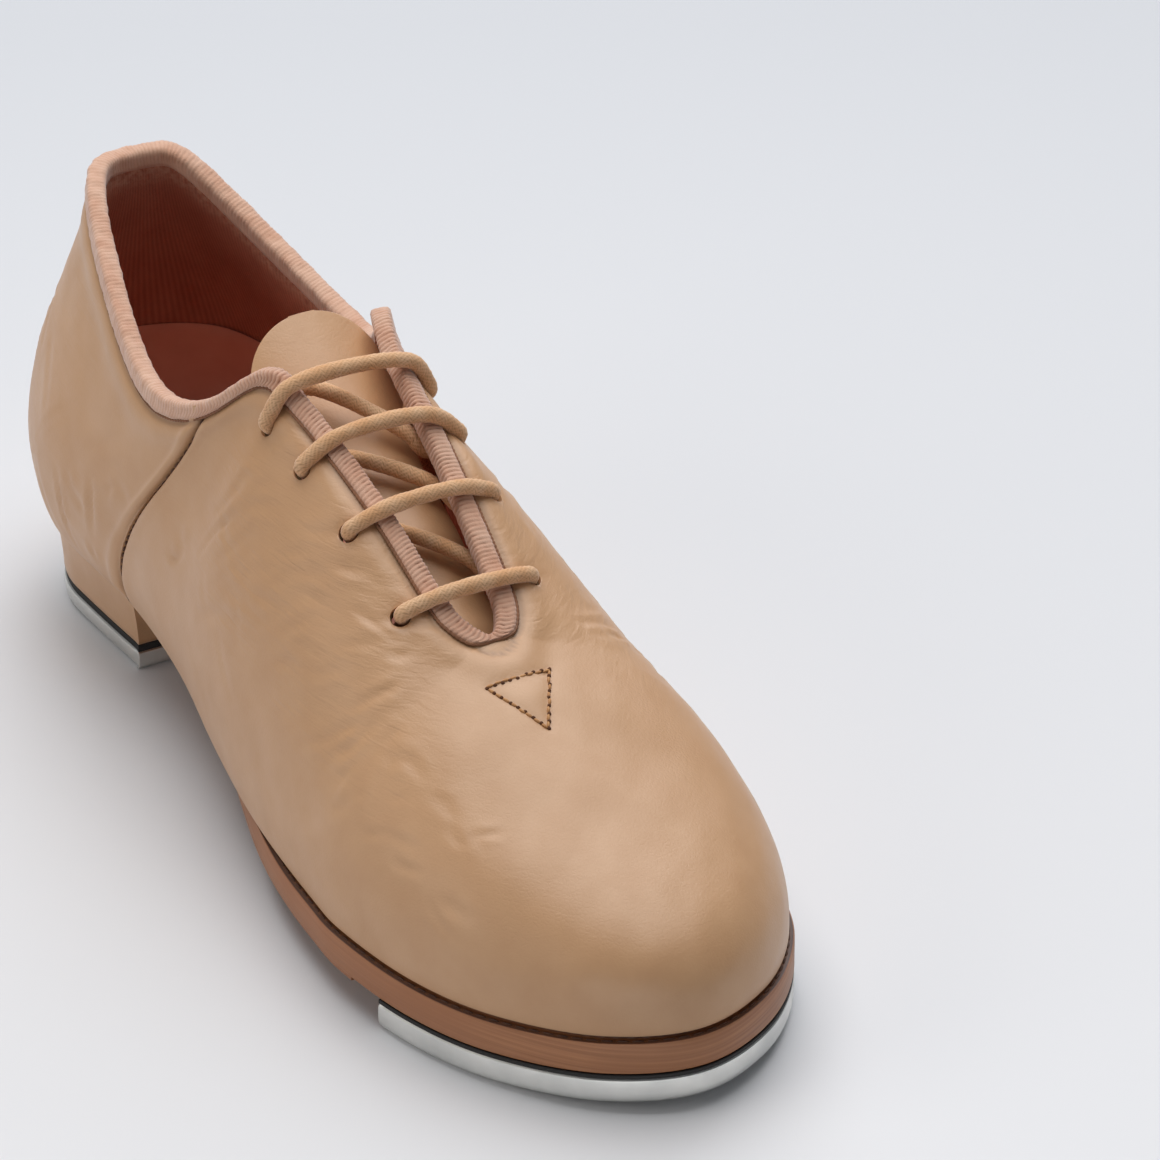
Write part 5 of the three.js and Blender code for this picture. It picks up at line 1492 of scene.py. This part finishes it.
def station_at(x, outer):
    """Station whose foot lies at x, on the outer or the inner side."""
    s = np.linspace(0.5, TOE, 1200)
    foot = foot_at(s if outer else COUNT - s)
    return float(np.interp(x, foot[:, 0], s))


def layer_outline(start, rows, outwards, end=None, draw_in=0.0):
    """outline(inset) for a layer from x = start forward, along the feather edge."""
    outer_last = TOE if end is None else station_at(end, True)
    inner_last = TOE if end is None else station_at(end, False)
    ease = np.linspace(0, 1, rows)
    if end is None:
        ease = 1 - (1 - ease) ** 1.25
    outer_s = station_at(start, True) + (outer_last - station_at(start, True)) * ease
    inner_s = COUNT - (station_at(start, False) + (inner_last - station_at(start, False)) * ease)

    def outline(inset):
        edges = []
        for s in (outer_s, inner_s):
            foot = foot_at(s)
            reach = outwards(foot[:, 0]) - draw_in - inset
            edges.append(foot + outward_at(s) * reach[:, None])
        if inset:
            low = start + inset
            for edge in edges:
                edge[:, 0] = np.maximum(edge[:, 0], np.minimum(low, edge[:, 0] + inset))
                if end is not None:
                    edge[-1, 0] -= inset
        return edges[0], edges[1]

    return outline


def footbed_outline(rows, inset_by):
    ease = (1 - np.cos(np.linspace(0, math.pi, rows))) / 2
    outer_s = TOE * ease
    inner_s = COUNT - TOE * ease

    def outline(inset):
        return tuple(foot_at(s) - outward_at(s) * (inset + inset_by) for s in (outer_s, inner_s))

    return outline


class TAPSHOE_OT_sole(TapShoeOperator, bpy.types.Operator):
    """Outsole with its stitch channel darkened by dye and by painted shade, ball pad, and the welt stitches
    """
    bl_idname = "tapshoe.sole"
    bl_label = "Sole"

    channel_depth = 0.75
    channel_width = 2.3
    glue_line = 0.05

    def execute(self, context):
        floor_of_channel = -self.channel_depth
        levels = [
            (0.9, sole_bottom, 0.0), (0.3, sole_bottom, 0.25), (0.0, sole_bottom, 0.8),
            (0.0, feather_height, floor_of_channel - 0.45),
            (0.15, feather_height, floor_of_channel - 0.12),
            (0.4, feather_height, floor_of_channel),
            (self.channel_width, feather_height, floor_of_channel - 0.1),
            (self.channel_width + 0.3, feather_height, -0.02),
        ]
        outline = layer_outline(HEEL_BREAST + 0.4, 170, sole_edge)
        sole = plate("leather_outsole", outline, levels, columns=16)
        points = on_last([v.co for v in sole.data.vertices])
        # the channel and the top of the sole over its floor are marked dark: a real edge stain, with painted
        # shade of the gap under the upper
        above = points[:, 2] - (feather_height(points[:, 0]) + floor_of_channel - 0.06)
        stain_and_shade = sole.data.attributes.new("stain_and_shade", "FLOAT", "POINT")
        stain_and_shade.data.foreach_set("value", (above > 0).astype(np.float32))
        finish_with(sole, "sole", replaced=["outsole"], bend=SOLE_BEND)

        pad_outline = layer_outline(PAD_BACK, 60, sole_edge, PAD_FRONT, draw_in=1)
        pad = plate("ball_pad_leather", pad_outline, [
            (inset, sole_bottom, rise - self.glue_line)
            for inset, rise in ((0.7, -1.8), (0.2, -1.6), (0.0, -1.1), (0.0, 0.0))], columns=12)
        pad.data.attributes.new("stain_and_shade", "FLOAT", "POINT")
        finish_with(pad, "sole", replaced=["ball_pad"], bend=SOLE_BEND)
        self.welt_stitches(sizes().welt_stitch / MM)
        return {"FINISHED"}

    def welt_stitches(self, pitch):
        """Dark thread laid in the channel, from the waist round the toe and back."""
        s = np.linspace(station_at(100, True), COUNT - station_at(100, False), 4000)
        foot = foot_at(s)
        line = foot + outward_at(s) * (sole_edge(foot[:, 0]) - 1.15)[:, None]
        length = run_along(line)
        marks = np.arange(pitch / 2, length[-1], pitch)
        xy = points_at(line, length, marks)
        ahead = points_at(line, length, marks + 0.5)
        z = feather_height(xy[:, 0]) - self.channel_depth + 0.02
        centres = np.concatenate([xy, z[:, None]], axis=1)
        slope = feather_height(ahead[:, 0]) - feather_height(xy[:, 0])
        along = np.concatenate([ahead - xy, slope[:, None]], axis=1)
        normals = np.tile([0.0, 0.0, 1.0], (len(xy), 1))
        normals = unit(normals - unit(along) * np.sum(unit(along) * normals, axis=1, keepdims=True))
        thread = stitches_object("welt_stitches", centres, along, normals, pitch * 0.8, 0.27)
        finish_with(thread, "seam_thread", bend=SOLE_BEND)


class TAPSHOE_OT_footbed(TapShoeOperator, bpy.types.Operator):
    """Sock liner, and copies of the hidden insole, filler and toe puff"""
    bl_idname = "tapshoe.footbed"
    bl_label = "Footbed"

    def execute(self, context):
        profile = ((0.0, 0.0), (0.0, 1.5), (0.5, 1.75), (1.6, 1.6), (4.0, 1.3), (9.0, 1.15))
        levels = [(inset, feather_height, INSOLE_TOP + GAP + rise) for inset, rise in profile]
        sock = plate("sock_liner_leather", footbed_outline(110, WALL + 1), levels, columns=16)
        finish_with(sock, "sock", replaced=["sock_liner"], bend=SOLE_BEND)
        finish_with(copy_of("insole_board", "insole_board_bending"), "fibre",
                    replaced=["insole_board"], bend=SOLE_BEND)
        finish_with(copy_of("bottom_filler", "cork_filler"), "cork",
                    replaced=["bottom_filler"], bend=SOLE_BEND)
        finish_with(copy_of("toe_puff", "toe_puff_bending"), "fibre",
                    replaced=["toe_puff"], bend=UPPER_BEND)
        return {"FINISHED"}


# ---- taps, heel and screws ----------------------------------------------------------------
def tap_edge(x):
    return np.full_like(x, SOLE_MARGIN)


class TAPSHOE_OT_toe_tap(TapShoeOperator, bpy.types.Operator):
    """Toe tap of cast aluminium with a rounded rim, and the black board over it"""
    bl_idname = "tapshoe.toe_tap"
    bl_label = "Toe tap"

    def execute(self, context):
        outline = layer_outline(TOE_TAP_BACK, 110, tap_edge)
        thick = TOE_TAP_THICKNESS
        rim = [(2.3, 0.0), (1.5, 0.12), (0.8, 0.5), (0.3, 1.1), (0.05, 1.9), (0.0, 2.6),
               (0.0, thick - 0.9), (0.12, thick - 0.35), (0.5, thick)]
        tap = plate("toe_tap_casting", outline, [(inset, spring, z) for inset, z in rim], columns=16)
        carve(tap, [countersink(f"toe_tap_screw_{k}") for k in (1, 2, 3)])
        finish_with(tap, "aluminium", "toe", ["toe_tap"])
        board_outline = layer_outline(TOE_TAP_BACK, 110, tap_edge, draw_in=0.1)
        low, high = thick + 0.05, thick + TAP_BOARD - 0.05
        board = plate("toe_tap_fibre_board", board_outline, [
            (0.15, spring, low), (0.0, spring, low + 0.15),
            (0.0, spring, high - 0.15), (0.15, spring, high)])
        finish_with(board, "board", "toe", ["toe_tap_board"])
        return {"FINISHED"}


def screw_place(node):
    low, high = (on_last(corner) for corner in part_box(node))
    return (low[0] + high[0]) / 2, (low[1] + high[1]) / 2, low[2], (high[0] - low[0]) / 2


def countersink(node):
    """A cone that sinks a screw's head into a tap."""
    x, y, z, radius = screw_place(node)
    deselect_all()
    rise, reach = 2.2, radius + 0.35
    bpy.ops.mesh.primitive_cone_add(vertices=48, radius1=(reach + 1.0) * MM, radius2=(reach - 1.6) * MM,
                                    depth=2 * rise * MM,
                                    location=to_frame([x, y, z - 0.2]).tolist())
    cone = bpy.context.active_object
    bpy.ops.object.transform_apply(location=True, rotation=True, scale=True)
    return cone


def tap_screw(node, name, turn):
    """Countersunk cross-recessed screw: a disc shaped by bevel, extrude and inset."""
    x, y, z, radius = screw_place(node)
    _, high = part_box(node)
    top = on_last(high)[2]
    deselect_all()
    bpy.ops.mesh.primitive_cylinder_add(vertices=48, radius=radius * MM, depth=0.35 * MM,
                                        location=to_frame([x, y, z + 0.175]).tolist())
    screw = bpy.context.active_object
    screw.name = screw.data.name = name
    bpy.ops.object.transform_apply(location=True, rotation=True, scale=True)
    bpy.ops.object.mode_set(mode="EDIT")
    bpy.ops.mesh.select_mode(type="FACE")
    bpy.ops.mesh.select_all(action="DESELECT")
    select_faces(screw, lambda face: face.normal.z > 0.9)
    centre = Vector(to_frame([x, y, z]))
    for rise, share in ((1.5, 0.5), (top - z - 3.2, 1.0), (1.4, 0.15)):
        bpy.ops.mesh.extrude_region_move(TRANSFORM_OT_translate={"value": (0, 0, rise * MM)})
        work = bmesh.from_edit_mesh(screw.data)
        for vertex in [v for v in work.verts if v.select]:
            vertex.co.x = centre.x + (vertex.co.x - centre.x) * share
            vertex.co.y = centre.y + (vertex.co.y - centre.y) * share
        bmesh.update_edit_mesh(screw.data)
    bpy.ops.mesh.select_all(action="DESELECT")
    select_faces(screw, lambda face: face.normal.z < -0.9)
    bpy.ops.mesh.bevel(offset=0.25 * MM, segments=3)
    bpy.ops.object.mode_set(mode="OBJECT")
    recesses = []
    for angle in (turn, turn + math.pi / 2):
        deselect_all()
        bpy.ops.mesh.primitive_cube_add(size=1, location=(0, 0, 0))
        bar = bpy.context.active_object
        bar.scale = (3.4 * MM, 0.75 * MM, 2.2 * MM)
        bar.rotation_euler = Euler((0, 0, angle))
        bar.location = to_frame([x, y, z])
        bpy.ops.object.transform_apply(location=True, rotation=True, scale=True)
        recesses.append(bar)
    carve(screw, recesses)
    return screw


class TAPSHOE_OT_screws(TapShoeOperator, bpy.types.Operator):
    """Three countersunk screws in each tap"""
    bl_idname = "tapshoe.screws"
    bl_label = "Tap screws"

    def execute(self, context):
        for tap, body in (("toe_tap_screw", "toe"), ("heel_tap_screw", "shoe")):
            for k in (1, 2, 3):
                node = f"{tap}_{k}"
                screw = tap_screw(node, f"{node}_cross_head", 0.4 + 0.9 * k)
                finish_with(screw, "steel", body, [node])
        return {"FINISHED"}


def heel_outline(grow, arc=40):
    """Anticlockwise outline of a heel layer: a round back and a straight breast."""
    radius = HEEL_RADIUS + grow
    angle = math.pi + np.linspace(0, math.pi / 2, arc)
    back = np.stack([HEEL_RADIUS + radius * np.cos(angle), radius * np.sin(angle)], axis=1)
    breast = HEEL_HALF_WIDTH + grow
    start = back[-1]
    f = np.linspace(0, 1, 16)[1:, None]
    middle = np.array([(HEEL_RADIUS + HEEL_BREAST) / 2, -(radius * 0.5 + breast * 0.5) - 0.35])
    side = (1 - f) ** 2 * start + 2 * f * (1 - f) * middle + f**2 * np.array([HEEL_BREAST, -breast])
    half = np.concatenate([back, side])
    other = half[1:][::-1] * [1, -1]
    return np.concatenate([half, other])


def heel_layer(name, levels, open_ends=False):
    """A heel layer: a filled circle moved onto the outline, then extruded to each level."""
    outline = heel_outline(0)
    deselect_all()
    bpy.ops.mesh.primitive_circle_add(vertices=len(outline), radius=1, fill_type="NGON")
    piece = bpy.context.active_object
    piece.name = piece.data.name = name
    centre = np.array([HEEL_RADIUS, 0])

    def places(level):
        grow, z = level
        loop = heel_outline(max(grow, 0))
        if grow < 0:
            inward = unit(centre - loop)
            ahead = unit(np.roll(loop, -1, axis=0) - np.roll(loop, 1, axis=0))
            normal = np.stack([ahead[:, 1], -ahead[:, 0]], axis=1)
            normal = np.where(np.sum(normal * inward, axis=1, keepdims=True) > 0, -normal, normal)
            loop = loop + normal * grow
        return np.concatenate([loop, np.full((len(loop), 1), z)], axis=1)

    raise_levels(piece, [to_frame(places(level)) for level in levels])
    if open_ends:
        bpy.ops.object.mode_set(mode="EDIT")
        bpy.ops.mesh.select_all(action="DESELECT")
        select_faces(piece, lambda face: len(face.verts) > 4)
        bpy.ops.mesh.delete(type="FACE")
        bpy.ops.object.mode_set(mode="OBJECT")
    return tidy_mesh(piece, merge=1e-6, angle=35)


class TAPSHOE_OT_heel(TapShoeOperator, bpy.types.Operator):
    """Leather-covered heel, its rubber lift and the heel tap"""
    bl_idname = "tapshoe.heel"
    bl_label = "Heel"

    def execute(self, context):
        low, high = HEEL_LIFT_TOP + 0.1, HEEL_HEIGHT
        shares = np.linspace(0, 1, 12)
        walls = [(HEEL_FLARE * f**1.6, low + (high - low) * f) for f in shares]
        walls = [(walls[0][0] - 0.25, low), (walls[0][0], low + 0.35)] + walls[1:-1]
        walls += [(HEEL_FLARE, high - 0.5), (HEEL_FLARE - 0.35, high - 0.02)]
        cover = heel_layer("heel_cover_leather", walls, open_ends=True)
        modifier = cover.modifiers.new("wall", "SOLIDIFY")
        modifier.thickness = HEEL_COVER * 0.9 * MM
        modifier.offset = -1
        activate(cover)
        bpy.ops.object.modifier_apply(modifier=modifier.name)
        for key in ("shade", "flex"):
            cover.data.attributes.new(key, "FLOAT", "POINT")
        points = on_last([v.co for v in cover.data.vertices])
        # painted shade along the top rim under the seat of the upper, and along the bottom rim over the
        # rubber lift
        rim = 0.7 * bump(points[:, 2] - high, 0.8) + 0.5 * bump(points[:, 2] - low, 0.5)
        cover.data.attributes["shade"].data.foreach_set("value", rim.astype(np.float32))
        finish_with(cover, "leather", "shoe", ["heel_cover"])
        lift = heel_layer("heel_rubber_lift", [
            (-0.45, HEEL_TAP_TOP + 0.05), (-0.3, HEEL_TAP_TOP + 0.2),
            (-0.3, HEEL_LIFT_TOP - 0.2), (-0.45, HEEL_LIFT_TOP - 0.05)])
        finish_with(lift, "rubber", "shoe", ["heel_lift"])
        tap = heel_layer("heel_tap_casting", [
            (-2.0, 0.0), (-1.3, 0.1), (-0.7, 0.45), (-0.25, 1.0), (-0.03, 1.7), (0.0, 2.3),
            (0.0, HEEL_TAP_TOP - 0.7), (-0.1, HEEL_TAP_TOP - 0.25), (-0.4, HEEL_TAP_TOP)])
        carve(tap, [countersink(f"heel_tap_screw_{k}") for k in (1, 2, 3)])
        finish_with(tap, "aluminium", "shoe", ["heel_tap"])
        return {"FINISHED"}


class TAPSHOE_OT_inner_parts(TapShoeOperator, bpy.types.Operator):
    """Finishes of the hidden pieces that keep their own shape"""
    bl_idname = "tapshoe.inner_parts"
    bl_label = "Inner parts"

    finishes = {
        "heel_counter": "fibre", "facing_stay_outer": "fibre", "facing_stay_inner": "fibre",
        "shank": "spring_steel", "heel_block": "beech", "heel_screw": "steel",
    }

    def execute(self, context):
        for node, finish in self.finishes.items():
            piece = frame["nodes"][node]
            piece.data.materials.clear()
            piece.data.materials.append(FINISHES[finish])
        return {"FINISHED"}


# ---- studio -------------------------------------------------------------------------------
class TAPSHOE_OT_stage(TapShoeOperator, bpy.types.Operator):
    """Pale floor, soft overhead light and the camera"""
    bl_idname = "tapshoe.stage"
    bl_label = "Stage"

    azimuth = 28.3                # of the camera, from the toe's axis towards the outer side
    elevation = 31.5
    roll = -0.3
    distance = 1.564
    lens = 235.1
    target = (124.8, 43.1, 40.0)

    def execute(self, context):
        self.floor()
        self.lights()
        self.camera()
        return {"FINISHED"}

    def floor(self):
        deselect_all()
        bpy.ops.mesh.primitive_plane_add(size=8, location=(0, 0, 0))
        floor = bpy.context.active_object
        floor.name = floor.data.name = "studio_floor"
        code = bpy.context.scene.tap_shoe_colours.floor
        material, tree, shader = new_material("matt_paper_floor", Roughness=0.85, Specular_IOR_Level=0.2)
        place = add(tree, "ShaderNodeTexCoord").outputs["Object"]
        # painted light falloff: the floor is mixed from a darker grey at the back, away from the camera, to
        # the floor colour at the front
        turned = add(tree, "ShaderNodeMapping", {"Rotation": (0.0, 0.0, math.radians(self.azimuth))},
                     {"Vector": place})
        parts = add(tree, "ShaderNodeSeparateXYZ", links={0: turned.outputs[0]})
        near = add(tree, "ShaderNodeMapRange", {"From Min": -0.35, "From Max": 0.25},
                   {"Value": parts.outputs[0]})
        tone = add(tree, "ShaderNodeMix", {"data_type": "RGBA", 6: linear("#C8CACE"), 7: linear(code)},
                   {0: near.outputs[0]})
        tree.links.new(tone.outputs[2], shader.inputs["Base Color"])
        floor.data.materials.append(material)

    def light(self, name, place, aim, size, energy, colour="#FFFFFF"):
        lamp = bpy.data.lights.new(name, "AREA")
        lamp.shape = "RECTANGLE"
        lamp.size, lamp.size_y = size
        lamp.energy = energy
        lamp.color = linear(colour)[:3]
        holder = bpy.data.objects.new(name, lamp)
        bpy.context.scene.collection.objects.link(holder)
        holder.location = place
        holder.rotation_euler = (Vector(aim) - Vector(place)).to_track_quat("-Z", "Y").to_euler()
        return holder

    def lights(self):
        world = bpy.data.worlds.new("studio_air")
        bpy.context.scene.world = world
        world.use_nodes = True
        background = world.node_tree.nodes["Background"]
        background.inputs[0].default_value = linear("#E8ECF2")
        background.inputs[1].default_value = 0.18
        self.light("overhead_softbox", (-0.3, 0.15, 1.3), (0.02, 0.0, 0.0), (1.3, 1.3), 17.5)
        self.light("back_softbox", (-1.2, 0.9, 1.0), (0, 0, 0.04), (1.5, 1.1), 12, "#F8FAFF")
        self.light("side_fill", (-0.3, -1.6, 0.8), (0.0, 0, 0.04), (1.2, 1.0), 5.8, "#FFF8F0")
        card = self.light("tap_card", (1.3, -0.9, 0.15), (0.1, 0, 0.01), (1.4, 0.3), 3.4)
        card.visible_diffuse = False

    def camera(self):
        azimuth, elevation = math.radians(self.azimuth), math.radians(self.elevation)
        back = Vector((math.cos(azimuth) * math.cos(elevation), -math.sin(azimuth) * math.cos(elevation),
                       math.sin(elevation)))
        target = Vector(to_frame(self.target))
        lens = bpy.data.cameras.new("camera")
        lens.lens = self.lens
        lens.sensor_width = 36
        lens.clip_start, lens.clip_end = 0.05, 20
        camera = bpy.data.objects.new("camera", lens)
        bpy.context.scene.collection.objects.link(camera)
        camera.location = target + back * self.distance
        facing = (-back).to_track_quat("-Z", "Y")
        camera.rotation_mode = "QUATERNION"
        camera.rotation_quaternion = facing @ Euler((0, 0, math.radians(self.roll))).to_quaternion()
        bpy.context.scene.camera = camera
        bpy.context.scene.view_settings.view_transform = "Standard"


# ---- add-on -------------------------------------------------------------------------------
OPERATORS = (
    TAPSHOE_OT_stage, TAPSHOE_OT_upper, TAPSHOE_OT_lining, TAPSHOE_OT_heel_cup, TAPSHOE_OT_binding,
    TAPSHOE_OT_tongue, TAPSHOE_OT_lace, TAPSHOE_OT_stitches, TAPSHOE_OT_sole, TAPSHOE_OT_footbed,
    TAPSHOE_OT_toe_tap, TAPSHOE_OT_heel, TAPSHOE_OT_screws, TAPSHOE_OT_inner_parts,
)


class TAPSHOE_PT_panel(bpy.types.Panel):
    """Lists the pieces and the values that can be changed"""
    bl_idname = "TAPSHOE_PT_panel"
    bl_label = "Tap Shoe"
    bl_space_type = "VIEW_3D"
    bl_region_type = "UI"
    bl_category = "Tap Shoe"

    def draw(self, context):
        for group in (context.scene.tap_shoe_sizes, context.scene.tap_shoe_colours):
            box = self.layout.box()
            for name in group.__annotations__:
                box.prop(group, name)
        for operator in OPERATORS:
            self.layout.operator(operator.bl_idname)


CLASSES = (TapShoeSizes, TapShoeColours, *OPERATORS, TAPSHOE_PT_panel)


def register():
    for item in CLASSES:
        bpy.utils.register_class(item)
    bpy.types.Scene.tap_shoe_sizes = bpy.props.PointerProperty(type=TapShoeSizes)
    bpy.types.Scene.tap_shoe_colours = bpy.props.PointerProperty(type=TapShoeColours)


def unregister():
    del bpy.types.Scene.tap_shoe_colours
    del bpy.types.Scene.tap_shoe_sizes
    for item in reversed(CLASSES):
        bpy.utils.unregister_class(item)


def main():
    register()
    FINISHES.update(make_finishes(bpy.context.scene.tap_shoe_colours))
    for operator in OPERATORS:
        group, name = operator.bl_idname.split(".")
        getattr(getattr(bpy.ops, group), name)()
    deselect_all()


if __name__ == "__main__":
    main()
